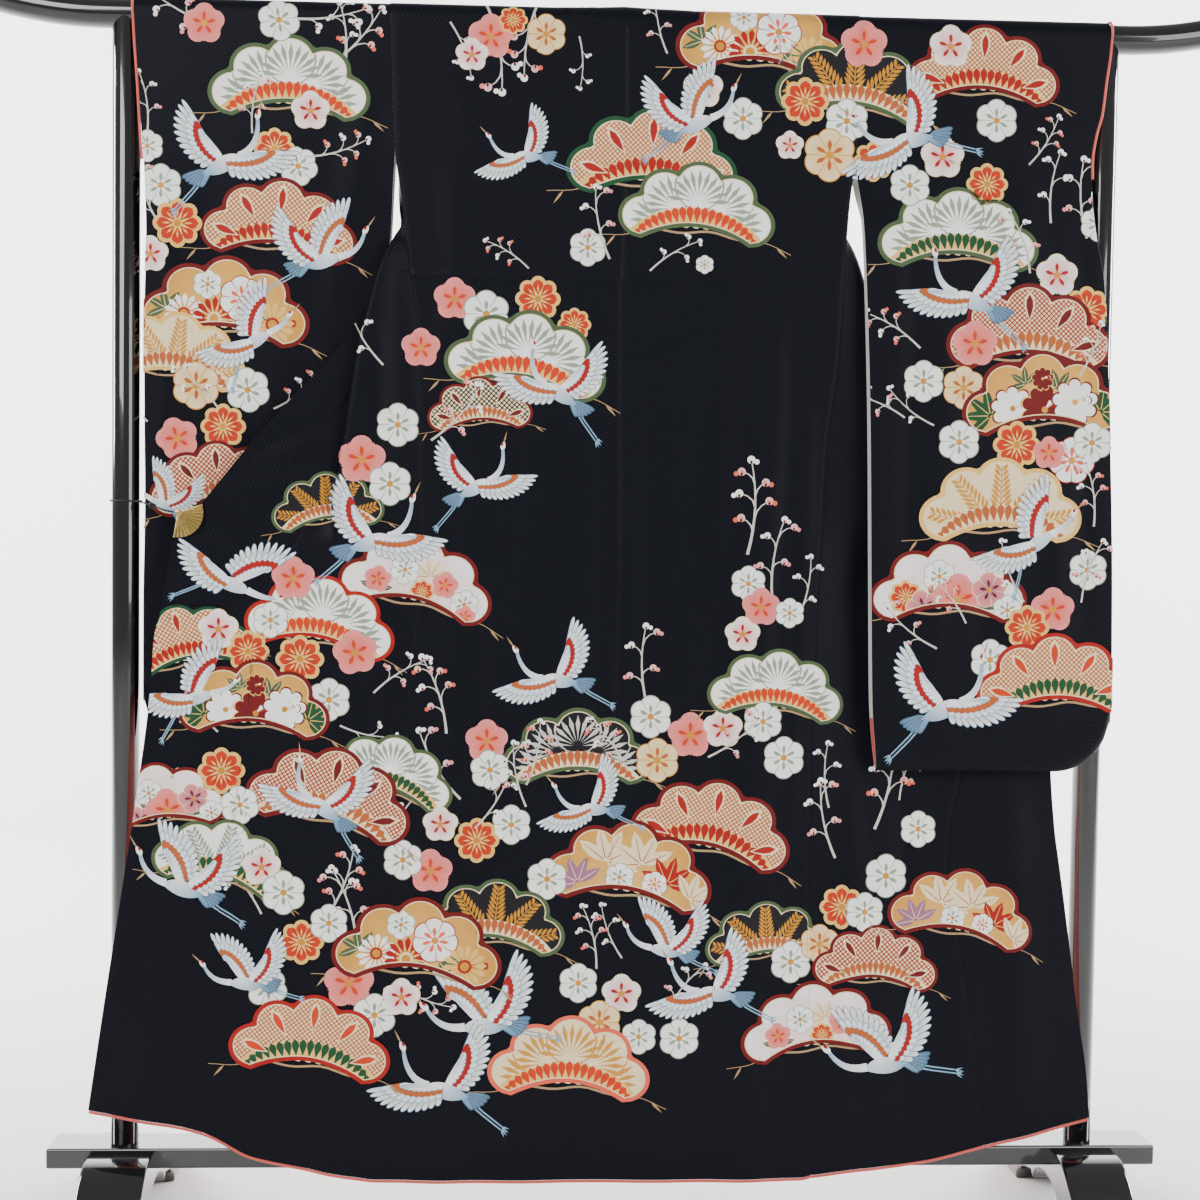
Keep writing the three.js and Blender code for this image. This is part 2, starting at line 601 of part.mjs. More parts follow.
function buildStand() {
  add("stand_rail", "lacquer", railGeometry());
  add("stand_board", "lacquer", boardGeometry());
  for (const [side, sign] of [["left", -1], ["right", 1]]) {
    add("stand_upright_" + side, "lacquer", uprightGeometry()).position.x = sign * UPRIGHT_X;
    add("stand_foot_" + side, "lacquer", footGeometry()).position.x = sign * UPRIGHT_X;
  }
}

// ---- The body of the kimono -----------------------------------------------------------

// Heights of a body panel's column, down to the hem below it.
function columnHeights(bottom) {
  const lower = HEM_ROWS.map((share) => SPLIT + (bottom - SPLIT) * share);
  return [...UPPER_ROWS, ...lower];
}

function backSheet(side) {
  const { centre, [side]: edge, y: depth } = backTrack;
  const width = Math.abs(edge(SHOULDER) - centre(SHOULDER));
  const neck = NECK.map(({ seam, seamOver, lift }) => ({
    run: (NECK[0].seam - seam) / width,
    over: -seamOver,
    lift,
  }));
  const shoulder = [0.5, 0.75, 1].map((run) => ({ run, over: 0, lift: NECK[NECK.length - 1].lift }));
  const collarOff = [...neck, ...shoulder];
  const evenRun = (i) => i / (collarOff.length - 1);
  const columns = collarOff.map(({ run, over, lift }, i) => {
    const share = (h) => {
      const lower = Math.min(1, Math.max(0, (RAIL_AXIS - h) / (RAIL_AXIS - ARMHOLE_END)));
      return run + (evenRun(i) - run) * lower;
    };
    const xAt = (h) => centre(h) + (edge(h) - centre(h)) * share(h);
    const heights = columnHeights(hemHeight(xAt(70)));
    const start = SHOULDER - over - (over > 0 ? SEAM_GAP : 0);
    const settled = Math.min(RAIL_AXIS, start - 4);
    return heights.map((height, r) => {
      const h = r <= ARC_ROWS.length ? start + ((settled - start) * r) / ARC_ROWS.length : height;
      const x = xAt(h);
      const raised = lift * Math.max(0, (h - ARMHOLE_END) / (start - ARMHOLE_END));
      return hang(x, depth(h) - swell(x, h), h, raised);
    });
  });
  const grid = columns[0].map((_, r) => columns.map((column) => column[r]));
  return makeSheet(grid, side === "right");
}

// The whole front on one side, cut into front panel, overlap panel and collar.
const FRONT_STEPS = [2, 2, 2, 2, 2]; // the turns of the fold get a point at their bend
const SHOULDER_LIFT = NECK[NECK.length - 1].lift;
const OKUMI_STEPS = 3;
const COLLAR_STEPS = 5;
function frontSheets(columns, flip) {
  // Points are spread in the unrolled cloth, then hung.
  const point = (name, h, dropped) => {
    const { x, y } = columns[name];
    return new THREE.Vector3(x(h), y(h), h - (dropped ? edgeDrop(h) : 0));
  };
  const raised = (h) => SHOULDER_LIFT * Math.max(0, (h - RAIL_AXIS) / QUARTER);
  const hung = (points, steps) =>
    spread(points, steps).map((p) => hang(p.x, p.y - swell(p.x, p.z), p.z, raised(p.z)));
  const bottoms = Object.fromEntries(
    FRONT_COLUMNS.map((name) => [name, hemHeight(columns[name].x(150))]),
  );
  const count = UPPER_ROWS.length + HEM_ROWS.length;
  const tip = UPPER_ROWS.indexOf(OKUMI_TIP);
  const end = UPPER_ROWS.indexOf(COLLAR_END);
  const heightOf = (name, r) => columnHeights(bottoms[name])[r];
  const front = [];
  const okumi = [];
  const collar = [];
  const panel = FRONT_STEPS.reduce((sum, steps) => sum + steps, 0);
  for (let r = 0; r < count; r += 1) {
    const at = (name) => point(name, heightOf(name, r), name === "edge" && r < tip);
    const first = ["side", "fold", "foldIn", "tuck", "tuckIn", "okumi"];
    const rest = r > end ? ["edge"] : ["collar", "edge"];
    const steps = [...FRONT_STEPS, OKUMI_STEPS, COLLAR_STEPS].slice(0, r > end ? -1 : undefined);
    if (r < tip) {
      front.push(hung(first.map(at), FRONT_STEPS));
      if (r > 0) collar.push(hung(["okumi", "edge"].map(at), [COLLAR_STEPS]));
      continue;
    }
    const line = hung([...first, ...rest].map(at), steps);
    const border = panel + OKUMI_STEPS;
    front.push(line.slice(0, panel + 1));
    okumi.push(line.slice(panel, border + 1).map((p) => p.clone()));
    if (r <= end) collar.push(line.slice(border).map((p) => p.clone()));
  }
  return {
    front: makeSheet(front, flip),
    okumi: makeSheet(okumi, flip),
    collar,
    tip,
    end,
  };
}

// The collar's rows round the back of the neck, from the centre to the shoulder line.
function neckRows(sign) {
  return NECK.map(({ seam, seamOver, edge, edgeOver, lift }) => {
    const line = [];
    for (let k = 0; k <= COLLAR_STEPS; k += 1) {
      const t = k / COLLAR_STEPS;
      const x = seam + (edge - seam) * t;
      const over = seamOver + (edgeOver - seamOver) * t;
      const depth = over < 0 ? -DRAPE_RADIUS : DRAPE_RADIUS;
      line.push(hang(sign < 0 ? x : 2 * NECK[0].seam - x, depth, SHOULDER - Math.abs(over), lift));
    }
    return line;
  });
}

// At the shoulder line and the armhole the walls end square, a seam's gap from each other.
function square(back, front) {
  for (const sheet of [back, front]) {
    const way = sheet === back ? -1 : 1;
    const { grid, normals } = sheet;
    grid[0].forEach((p, c) => {
      if (Math.abs(p.y) > 1) return;
      p.y += (way * SEAM_GAP) / 2;
      normals[0][c].set(0, 0, Math.sign(normals[0][c].z));
    });
    const edge = sheet === back ? grid[0].length - 1 : 0;
    grid.forEach((row, r) => {
      if (row[edge].z > ARMHOLE_END - 1) normals[r][edge].setX(0).normalize();
    });
  }
}

function rowRange(from, to) {
  return Array.from({ length: to - from }, (_, i) => from + i);
}

function buildBody() {
  const sides = { left: leftFront, right: rightFront };
  const seamRow = UPPER_ROWS.indexOf(SIDE_SEAM_TOP);
  const rail = UPPER_ROWS.indexOf(RAIL_AXIS);
  const waist = UPPER_ROWS.indexOf(WAIST);
  const count = UPPER_ROWS.length + HEM_ROWS.length;
  const backs = { left: backSheet("left"), right: backSheet("right") };
  sew(backs.left, 0, backs.right, 0, rowRange(0, count), rowRange(0, count));
  const rolls = {};
  for (const side of ["left", "right"]) {
    const back = backs[side];
    const { front, okumi, collar, tip, end } = frontSheets(sides[side], side === "right");
    const neck = neckRows(side === "left" ? -1 : 1);
    const band = makeSheet([...neck, ...collar], side === "right");
    const last = back.grid[0].length - 1;
    const inner = front.grid[0].length - 1;
    sew(back, last, front, 0, rowRange(seamRow, count), rowRange(seamRow, count));
    sew(front, inner, okumi, 0, rowRange(tip, count), rowRange(0, count - tip));
    const shift = neck.length - 1;
    sew(front, inner, band, 0, rowRange(1, tip), rowRange(shift + 1, shift + tip));
    const outer = okumi.grid[0].length - 1;
    const shared = end - tip + 1;
    sew(okumi, outer, band, 0, rowRange(0, shared), rowRange(shift + tip, shift + tip + shared));
    rolls[side] = [back, front, okumi].map((sheet) => sheet.grid[sheet.grid.length - 1]);
    trim(back, 0);
    trim(back, last);
    trim(front, 0);
    trim(front, inner);
    trim(okumi, 0);
    trim(okumi, outer);
    trim(band, 0);
    band.grid[0].forEach((p) => p.setX(p.x + (side === "left" ? -SEAM_GAP : SEAM_GAP) / 2));
    band.normals[0].forEach((n) => n.setX(0).normalize());
    square(back, front);
    NECK.forEach((_, i) => {
      const shared = new THREE.Vector3().addVectors(back.normals[0][i], band.normals[i][0]);
      if (i === NECK.length - 1) shared.copy(back.normals[0][i]);
      back.normals[0][i] = shared.normalize();
      band.normals[i][0] = shared.clone();
    });
    const parts = [...partRows(back, [rail]), ...partRows(front, [rail, tip, waist])];
    const names = ["back_shoulder", "back", "front_shoulder", "front_chest", "front_waist", "front"];
    parts.forEach((sheet, i) => add(names[i] + "_" + side, "silk", sheetGeometry(sheet)));
    add("okumi_" + side, "silk", sheetGeometry(okumi));
    add("collar_" + side, "silk", sheetGeometry(band));
  }
  return rolls;
}

// The padded roll of lining that edges the hem, below each panel.
function buildHemRolls(rolls) {
  const lower = 2 * SEAM_GAP + HEM_ROLL / 2;
  for (const side of ["left", "right"]) {
    ["back", "front", "okumi"].forEach((name, i) => {
      const line = rolls[side][i].map((p) => p.clone().setZ(p.z - lower));
      const last = line.length - 1;
      line[0].lerp(line[1], ROLL_END / line[0].distanceTo(line[1]));
      line[last].lerp(line[last - 1], ROLL_END / line[last].distanceTo(line[last - 1]));
      add("hem_roll_" + name + "_" + side, "lining", barGeometry(line, HEM_ROLL, 8));
    });
  }
}

// ---- The sleeves ----------------------------------------------------------------------

const SLEEVE_LEVELS = [1660, 1610, 1549, ARMHOLE_END, CUFF_END, 1400, 1360, 1310, 1250, 1121, 883];
const FREE_FROM = 1400; // below this the sleeve's inner edge hangs free of the body's depth
const SLEEVE_LOWER = [0.45, 0.8, 1];
const SLEEVE_SHARES = [0, 0.12, 0.3, 0.5, 0.7, 0.85, 0.94, 1];

// A sleeve is a bag: two layers joined over the rail, along the bottom and along the lower
// part of the outer edge, open at the inner edge and at the hand opening.
function sleeveSurface(table, bottom, side, sign) {
  const inner = track(table, "h", "inner");
  const outer = track(table, "h", "outer");
  const near = track(table, "h", "near");
  const far = track(table, "h", "far");
  const lowest = SLEEVE_LEVELS[SLEEVE_LEVELS.length - 1];
  const points = [];
  const ringSize = 2 * (ARC_ROWS.length + SLEEVE_LEVELS.length + SLEEVE_LOWER.length);
  const half = ringSize / 2;
  // Bottom of the bag at a distance from its outer edge, with the rounded corner.
  const floorAt = (fromEdge) => {
    if (fromEdge >= SLEEVE_CORNER) return bottom;
    const run = SLEEVE_CORNER - fromEdge;
    return bottom + SLEEVE_CORNER - Math.sqrt(SLEEVE_CORNER ** 2 - run * run * 0.98);
  };
  for (const share of SLEEVE_SHARES) {
    const width = Math.abs(outer(bottom) - inner(bottom));
    const low = floorAt((1 - share) * width);
    const levels = [
      ...ARC_ROWS,
      ...SLEEVE_LEVELS,
      ...SLEEVE_LOWER.map((t) => lowest + (low - lowest) * t),
    ];
    const ring = [];
    for (let k = 0; k < ringSize; k += 1) {
      const down = k <= half ? k : ringSize - k;
      const h = down === half ? low - 5 : levels[down];
      const at = Math.max(h, bottom);
      const sewn = Math.min(1, Math.max(0, (at - FREE_FROM) / (ARMHOLE_END - FREE_FROM)));
      const pull = sewn * Math.max(0, 1 - share * 4);
      const own = k <= half ? near(at) : far(at);
      const body = k <= half ? backTrack.y(at) : leftFront.side.y(Math.max(at, ARMHOLE_END));
      const layer = own + (body - own) * pull;
      const middle = (near(at) + far(at)) / 2;
      const close = down === half ? 0 : Math.min(1, (h - low + 12) / 40);
      const y = h > RAIL_AXIS ? layer : middle + (layer - middle) * Math.max(close, 0);
      const armhole = backTrack[side](at) + sign * SEAM_GAP;
      const start = at >= ARMHOLE_END ? armhole : inner(at);
      const x = start + (outer(at) - start) * share;
      ring.push(hang(x, k === 0 ? 1 : y, h));
    }
    points.push(ring);
  }
  return { points, ringSize, half };
}

function sleeveGeometry(table, bottom, side, sign) {
  const { points: rings, ringSize, half } = sleeveSurface(table, bottom, side, sign);
  const points = rings.flat();
  const faces = [];
  const quad = (a, b, c, d) => {
    const order = sign < 0 ? [a, b, c, d] : [d, c, b, a];
    if (new Set(order).size === 4) {
      faces.push([order[0], order[1], order[2]], [order[0], order[2], order[3]]);
    } else {
      const corners = order.filter((v, i) => order.indexOf(v) === i);
      faces.push(corners);
    }
  };
  for (let i = 0; i + 1 < rings.length; i += 1)
    for (let k = 0; k < ringSize; k += 1) {
      const next = (k + 1) % ringSize;
      quad(i * ringSize + k, i * ringSize + next, (i + 1) * ringSize + next, (i + 1) * ringSize + k);
    }
  // Close the outer edge below the hand opening, round a column a little further out.
  const last = (rings.length - 1) * ringSize;
  const cuffRow = ARC_ROWS.length + SLEEVE_LEVELS.indexOf(CUFF_END);
  const middle = new Map();
  for (let k = cuffRow; k < half; k += 1) {
    const a = points[last + k];
    const b = points[last + ringSize - k];
    const out = new THREE.Vector3().addVectors(a, b).multiplyScalar(0.5);
    out.x += sign * 3.4;
    middle.set(k, points.push(out) - 1);
  }
  middle.set(half, last + half);
  for (let k = cuffRow; k < half; k += 1) {
    quad(last + k, last + k + 1, middle.get(k + 1), middle.get(k));
    quad(middle.get(k), middle.get(k + 1), last + ringSize - k - 1, last + ringSize - k);
  }
  const normals = points.map(() => new THREE.Vector3());
  for (const [a, b, c] of faces) {
    const ab = new THREE.Vector3().subVectors(points[b], points[a]);
    const ac = new THREE.Vector3().subVectors(points[c], points[a]);
    const normal = ab.cross(ac);
    for (const v of [a, b, c]) normals[v].add(normal);
  }
  normals.forEach((n, i) => {
    if (i < ringSize && points[i].z > ARMHOLE_END - 1) n.setX(0);
    n.normalize();
  });
  return { geometry: wallGeometry(points, normals, faces, WALL), rings, ringSize, cuffRow };
}

function buildSleeves() {
  const sleeves = [
    { side: "left", sign: -1, table: SLEEVE_LEFT },
    { side: "right", sign: 1, table: SLEEVE_RIGHT },
  ];
  for (const { side, sign, table } of sleeves) {
    const made = sleeveGeometry(table, SLEEVE_BOTTOM[side], side, sign);
    add("sleeve_" + side, "silk", made.geometry);
    // The lining shows as a roll along the hand opening.
    const outermost = made.rings[made.rings.length - 1];
    const line = [];
    const beyond = SEAM_GAP + CUFF_ROLL / 2;
    for (let k = -made.cuffRow + 1; k < made.cuffRow; k += 1) {
      const p = outermost[(k + made.ringSize) % made.ringSize].clone();
      p.x += sign * beyond;
      const off = Math.hypot(p.y, p.z - RAIL_AXIS);
      if (p.z > RAIL_AXIS - 1) {
        p.y *= CUFF_RADIUS / off;
        p.z = RAIL_AXIS + ((p.z - RAIL_AXIS) * CUFF_RADIUS) / off;
      }
      line.push(p);
    }
    add("cuff_roll_" + side, "lining", barGeometry(line, CUFF_ROLL, 8, line.length * 2));
  }
}

// ---- The clip that holds the left front out -------------------------------------------

// A spring jaw on the collar's edge, a pleated fan that hides it, and a cord that runs from the
// fan's pivot to a loop round the left upright.
const CLIP = { pivotX: -592, pivotZ: 987, depth: -53.7, gripX: -581, gripZ: 979, grip: 18 };
const FAN = { radius: 33, hub: 5, from: -99, to: 18, pleats: 10, pleat: 1.3, leaf: 0.8 };
const JAW = { over: 12, beyond: 3, plate: 1.5, room: 4, off: 0.6 };
const CORD = { diameter: 3, knot: 8, loopZ: 1002 };

function fanGeometry() {
  const lines = 2 * FAN.pleats;
  const grid = [FAN.hub * 0.6, FAN.radius].map((radius) => {
    const row = [];
    for (let i = 0; i <= lines; i += 1) {
      const angle = THREE.MathUtils.degToRad(FAN.from + ((FAN.to - FAN.from) * i) / lines);
      const height = (i % 2 ? -1 : 1) * FAN.pleat * (radius / FAN.radius);
      row.push(new THREE.Vector3(radius * Math.cos(angle), height, radius * Math.sin(angle)));
    }
    return row;
  });
  const leaf = toSolid(sheetGeometry(makeSheet(grid), FAN.leaf));
  const hub = new THREE.CylinderGeometry(FAN.hub, FAN.hub, 3.4, 20);
  const fan = leaf.add(toSolid(hub));
  return fromSolid(fan).translate(CLIP.pivotX, CLIP.depth, CLIP.pivotZ);
}

// The jaw: a U that straddles the wall of the collar, its web just outside the edge.
function jawGeometry(clothDepth) {
  const half = JAW.room / 2 + JAW.plate;
  const shape = new THREE.Shape();
  shape.moveTo(-JAW.over, -half);
  shape.lineTo(JAW.beyond, -half);
  shape.lineTo(JAW.beyond, half);
  shape.lineTo(-JAW.over, half);
  shape.lineTo(-JAW.over, JAW.room / 2);
  shape.lineTo(JAW.beyond - JAW.plate, JAW.room / 2);
  shape.lineTo(JAW.beyond - JAW.plate, -JAW.room / 2);
  shape.lineTo(-JAW.over, -JAW.room / 2);
  shape.closePath();
  const geometry = new THREE.ExtrudeGeometry(shape, { depth: CLIP.grip, bevelEnabled: false });
  geometry.translate(0, 0, -CLIP.grip / 2);
  const outwards = new THREE.Vector3(-0.805, 0, 0.593);
  const towards = new THREE.Vector3(0, -1, 0);
  const along = new THREE.Vector3().crossVectors(outwards, towards);
  geometry.applyMatrix4(new THREE.Matrix4().makeBasis(outwards, towards, along));
  return geometry.translate(CLIP.gripX, clothDepth, CLIP.gripZ);
}

function cordGeometry() {
  const round = UPRIGHT_RADIUS + SEAM_GAP + CORD.diameter / 2;
  const loop = new THREE.TorusGeometry(round, CORD.diameter / 2, 8, 28);
  loop.translate(-UPRIGHT_X, 0, CORD.loopZ);
  const strand = [
    new THREE.Vector3(-UPRIGHT_X + round * 0.62, -round * 0.785, CORD.loopZ),
    new THREE.Vector3(-646, -24, 1000.5),
    new THREE.Vector3(-630, -38, 996),
    new THREE.Vector3(-612, -49, 990.5),
    new THREE.Vector3(CLIP.pivotX - FAN.hub - 2.2, CLIP.depth, CLIP.pivotZ + 1),
  ];
  const knot = new THREE.SphereGeometry(CORD.knot / 2, 12, 8);
  knot.scale(1.15, 1, 0.85).translate(-630, -38, 996);
  const whole = toSolid(loop)
    .add(toSolid(barGeometry(strand, CORD.diameter, 8, 12)))
    .add(toSolid(knot));
  return fromSolid(whole);
}

function buildClip() {
  const edge = leftFront.edge;
  add("clip_fan", "brass", fanGeometry());
  add("clip_jaw", "brass", jawGeometry(edge.y(CLIP.gripZ) + JAW.off));
  add("clip_cord", "cord", cordGeometry());
}

buildStand();
buildClip();
buildHemRolls(buildBody());
buildSleeves();

export default part;
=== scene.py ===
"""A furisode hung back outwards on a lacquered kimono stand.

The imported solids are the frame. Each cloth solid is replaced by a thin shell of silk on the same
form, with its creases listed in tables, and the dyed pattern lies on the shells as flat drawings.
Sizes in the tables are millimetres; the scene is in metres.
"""

import json
import math

import bpy
import numpy as np
from bpy.props import FloatProperty, FloatVectorProperty, IntProperty
from mathutils import Matrix, Vector
from mathutils.bvhtree import BVHTree
from mathutils.geometry import delaunay_2d_cdt

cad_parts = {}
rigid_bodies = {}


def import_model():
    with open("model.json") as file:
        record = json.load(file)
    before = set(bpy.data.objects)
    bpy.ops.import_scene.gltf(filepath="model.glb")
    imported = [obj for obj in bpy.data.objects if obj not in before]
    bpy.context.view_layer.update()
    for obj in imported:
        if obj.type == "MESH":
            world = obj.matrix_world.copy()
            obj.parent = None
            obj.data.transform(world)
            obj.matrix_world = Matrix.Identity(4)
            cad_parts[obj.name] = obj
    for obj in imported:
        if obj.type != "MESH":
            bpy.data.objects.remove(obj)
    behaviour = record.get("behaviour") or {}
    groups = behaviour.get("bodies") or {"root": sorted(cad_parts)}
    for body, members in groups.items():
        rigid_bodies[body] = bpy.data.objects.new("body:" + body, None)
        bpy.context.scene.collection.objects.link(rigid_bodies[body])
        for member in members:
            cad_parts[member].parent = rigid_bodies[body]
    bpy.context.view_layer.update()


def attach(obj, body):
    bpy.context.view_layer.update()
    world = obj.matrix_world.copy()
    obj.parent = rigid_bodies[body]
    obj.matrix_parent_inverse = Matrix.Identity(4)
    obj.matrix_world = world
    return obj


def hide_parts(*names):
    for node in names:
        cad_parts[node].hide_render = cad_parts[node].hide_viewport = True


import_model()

bl_info = {
    "name": "Furisode on a kimono stand",
    "version": (1, 0, 0),
    "blender": (4, 5, 0),
    "location": "3D View > Sidebar > Furisode",
    "description": "Silk, dyed pattern, lining, lacquer and studio for a furisode on its stand",
    "category": "Object",
}

MM = 0.001
BODY = "root"

# ---- Sizes ------------------------------------------------------------------------------

RAIL_RADIUS = 20
RAIL_AXIS = 1660
RAIL_STRAIGHT = 700
RAIL_HALF = 900
RAIL_END_RISE = 36
DRAPE_RADIUS = RAIL_RADIUS + 1.8
QUARTER = DRAPE_RADIUS * math.pi / 2
SHOULDER = RAIL_AXIS + QUARTER
SPLIT = 600
ARMHOLE_END = 1484
SIDE_SEAM_TOP = 1356
OKUMI_TIP = 1456
COLLAR_END = 862
WAIST_TUCK = 1314
CUFF_END = 1452
SLEEVE_CORNER = 75
FREE_FROM = 1400
SHELL = 1.3
SEAM_GROOVE = 0.7
LINING_CHANGES = 720


def columns(names, rows):
    """A table with named columns."""
    return {name: np.array([row[i] for row in rows], float) for i, name in enumerate(names.split())}


BACK = columns("h centre left right y", [
    (SHOULDER, 3, -318, 327, -21.8),
    (1623, 5, -314, 325, -22.4),
    (1484, 6, -308, 321, -25),
    (1424, 5, -299, 314, -28),
    (1356, 3, -290, 309, -32),
    (1280, 0, -280, 305, -33.5),
    (1211, 1, -273, 301, -34),
    (1081, 4, -269, 286, -34.5),
    (968, 6, -265, 282, -35),
    (870, 5, -270, 279, -35.5),
    (675, 1, -284, 273, -37),
    (460, -3, -300, 273, -39),
    (180, -13, -325, 282, -40.5),
    (70, -17, -327, 286, -41),
])

FRONT_NAMES = ["side", "fold", "foldIn", "tuck", "tuckIn", "okumi", "collar", "edge"]
FRONT = columns(
    "h side sideY fold foldY foldIn foldInY tuck tuckY tuckIn tuckInY okumi okumiY collar collarY"
    " edge edgeY drop",
    [
        (SHOULDER, -318, 21.8, -284, 21.8, -254, 21.8, -194, 21.8, -160, 21.8, -90, 21.8,
         -90, 21.8, -38, 21.8, 39),
        (1660, -318, 21.8, -286, 21.8, -258, 21.8, -202, 21.8, -174, 21.8, -104, 21.8,
         -104, 21.8, -60, 21.8, 34),
        (1620, -314, 21.8, -290, 25, -268, 25, -224, 20.6, -198, 20.6, -138, 24, -138, 24, -87, 24, 30),
        (1560, -311, 21.8, -294, 33, -279, 34, -248, 20.6, -230, 21, -188, 32, -188, 32, -127, 26, 20),
        (1520, -310, 21.8, -298, 41, -286, 43, -262, 21, -248, 22, -214, 40, -214, 40, -151, 27, 10),
        (1484, -308, 21, -301, 49, -290, 52, -274, 20, -262, 22, -240, 45, -240, 45, -172, 29, 0),
        (1456, -304, 16, -303, 44, -292, 48, -274, 17, -264, 19, -256, 42, -252, 44, -196, 31, 0),
        (1430, -301, 8, -304, 31, -294, 38, -272, 12, -262, 15, -268, 36, -264, 41, -216, 33, 0),
        (1405, -298, -3, -302, 6, -296, 16, -268, 6, -258, 12, -276, 26, -276, 34, -236, 34, 0),
        (1382, -295, -14, -298, -21, -296, -9, -264, 0, -256, 8, -281, 15, -287, 24, -253, 31, 0),
        (1360, -291, -31, -309, -36, -307, -26, -258, -7, -252, 1, -287, 3, -295, 9, -271, 20, 0),
        (1340, -288, -33, -318, -43, -316, -34, -252, -12, -251, -4, -292, -9, -301, -5, -289, 8, 0),
        (1310, -284, -33.5, -329, -46, -328, -37, -246, -14, -245, -6, -302, -16, -312, -16, -314, -8, 0),
        (1277, -280, -34, -338, -48, -337, -39, -242, -15, -241, -7, -310, -21, -322, -24, -341, -27, 0),
        (1219, -274, -34, -352, -50, -351, -41, -260, -18, -259, -10, -319, -25, -328, -28, -377, -32, 0),
        (1138, -271, -34.5, -365, -51, -364, -42, -282, -25, -281, -17, -345, -30, -372, -33, -449, -38, 0),
        (1088, -270, -34.5, -372, -51, -371, -42, -300, -28, -299, -20, -360, -32, -413, -37, -493, -42, 0),
        (1040, -268, -34.5, -379, -50, -378, -42, -322, -30, -321, -22, -377, -34, -455, -40, -531, -46, 0),
        (1003, -267, -35, -385, -48, -384, -41, -342, -32, -341, -25, -409, -36, -484, -42, -560, -48, 0),
        (978, -266, -35, -372, -46, -382, -43, -382, -37, -390, -33, -423, -36, -506, -43, -581, -49, 0),
        (950, -265, -35, -360, -43, -375, -44, -389, -40, -404, -38, -436, -37, -525, -44, -599, -50, 0),
        (911, -267, -35.5, -345, -42, -372, -42, -396, -38, -410, -38, -459, -38, -541, -44, -608, -49, 0),
        (862, -270, -36, -330, -42, -360, -41, -402, -38, -432, -38, -490, -39, -551, -44, -615, -47, 0),
        (816, -274, -36, -335, -42, -366, -41, -410, -39, -436, -39, -494, -40, -560, -43, -626, -45, 0),
        (756, -278, -36.5, -340, -42, -370, -41, -416, -39, -442, -39, -498, -40, -564, -42, -630, -44, 0),
        (598, -290, -38, -350, -43, -380, -42, -430, -40, -456, -40, -516, -41, -583, -41, -650, -41, 0),
        (460, -300, -39, -362, -43, -392, -42, -446, -41, -474, -41, -538, -42, -604, -40, -671, -38, 0),
        (313, -312, -40, -374, -43, -404, -42, -458, -41, -488, -41, -550, -42, -622, -38, -694, -35, 0),
        (150, -327, -41, -386, -42, -416, -42, -468, -41, -498, -41, -557, -41, -638, -37, -718, -33, 0),
    ],
)

RIGHT_FRONT = columns("h okumi edge slide back", [
    (SHOULDER, 96, 44, 8, 0),
    (1660, 110, 66, 8, 0),
    (1620, 144, 93, 9, 0),
    (1484, 252, 184, 12, 0),
    (1430, 281, 229, 13, 2),
    (1382, 296, 268, 13, 9),
    (1340, 308, 305, 10, 16),
    (1277, 322, 347, 8, 22),
    (1219, 331, 383, 10, 24),
    (1088, 368, 497, 8, 24),
    (1003, 413, 562, 4, 24),
    (950, 438, 594, 2, 23),
    (862, 486, 603, 0, 20),
    (756, 490, 608, 0, 18),
    (643, 486, 613, -4, 14),
    (559, 469, 620, -12, 9),
    (506, 467, 628, -18, 6),
    (393, 487, 645, -26, 2),
    (316, 500, 656, -34, 0),
    (207, 517, 674, -40, 0),
    (112, 528, 682, -42, 0),
])

HEM = columns("x z", [
    (-719, 166), (-644, 149), (-594, 141), (-556, 136), (-532, 119), (-480, 100), (-417, 87),
    (-333, 70), (-20, 69), (268, 70), (289, 75), (393, 87), (469, 99), (527, 116), (627, 135),
    (683, 153),
])

SLEEVES = {
    "left": columns("h inner outer near far", [
        (SHOULDER, -318, -660, -21.8, 21.8),
        (1623, -314, -656, -21.8, 21.8),
        (1567, -312, -652, -22, 21.8),
        (1484, -308, -647, -22, 21.4),
        (1438, -310, -643, -21.5, 21),
        (1360, -314, -641.5, -19, 20.5),
        (1310, -333, -643, -16.5, 20),
        (1250, -346, -644.5, -15.5, 19),
        (1100, -352, -643.5, -15, 17),
        (1000, -352, -642.5, -14.5, 16),
        (860, -352, -644.5, -14, 14),
        (655, -350, -644.5, -13, 12),
    ]),
    "right": columns("h inner outer near far", [
        (SHOULDER, 327, 674, -21.8, 21.8),
        (1644, 326, 672, -21.8, 21.8),
        (1596, 324, 666, -23.5, 21.8),
        (1549, 322, 660, -26, 21.2),
        (1525, 321, 653, -28, 18),
        (1484, 321, 647, -31, 6),
        (1446, 325, 647, -35, -10),
        (1400, 331, 650, -41, -24),
        (1323, 335, 663, -50, -32),
        (1121, 343, 674, -59, -36),
        (883, 349, 683, -61, -37),
        (738, 353, 685, -62, -38),
        (649, 361, 685, -62, -39),
    ]),
}
SLEEVE_BOTTOM = {"left": 664, "right": 649}

NECK = columns("seam seamOver edge edgeOver lift", [
    (3, -39, 3, 18, 4.5),
    (-28, -37.5, -13, 21, 3.4),
    (-60, -30, -25, 27, 2.7),
    (-80, -15, -32, 33, 2),
    (-90, 0, -38, 39, 1.2),
])

SOFT_FOLDS = columns("top bottom xTop xBottom width depth", [
    (1180, 60, -196, -236, 38, 5),
    (1060, 60, -96, -128, 52, 4),
    (980, 60, 96, 70, 58, 4),
    (1240, 60, 212, 186, 40, 6),
    (900, 130, -560, -640, 30, 5),
    (700, 90, 540, 590, 32, 5),
])
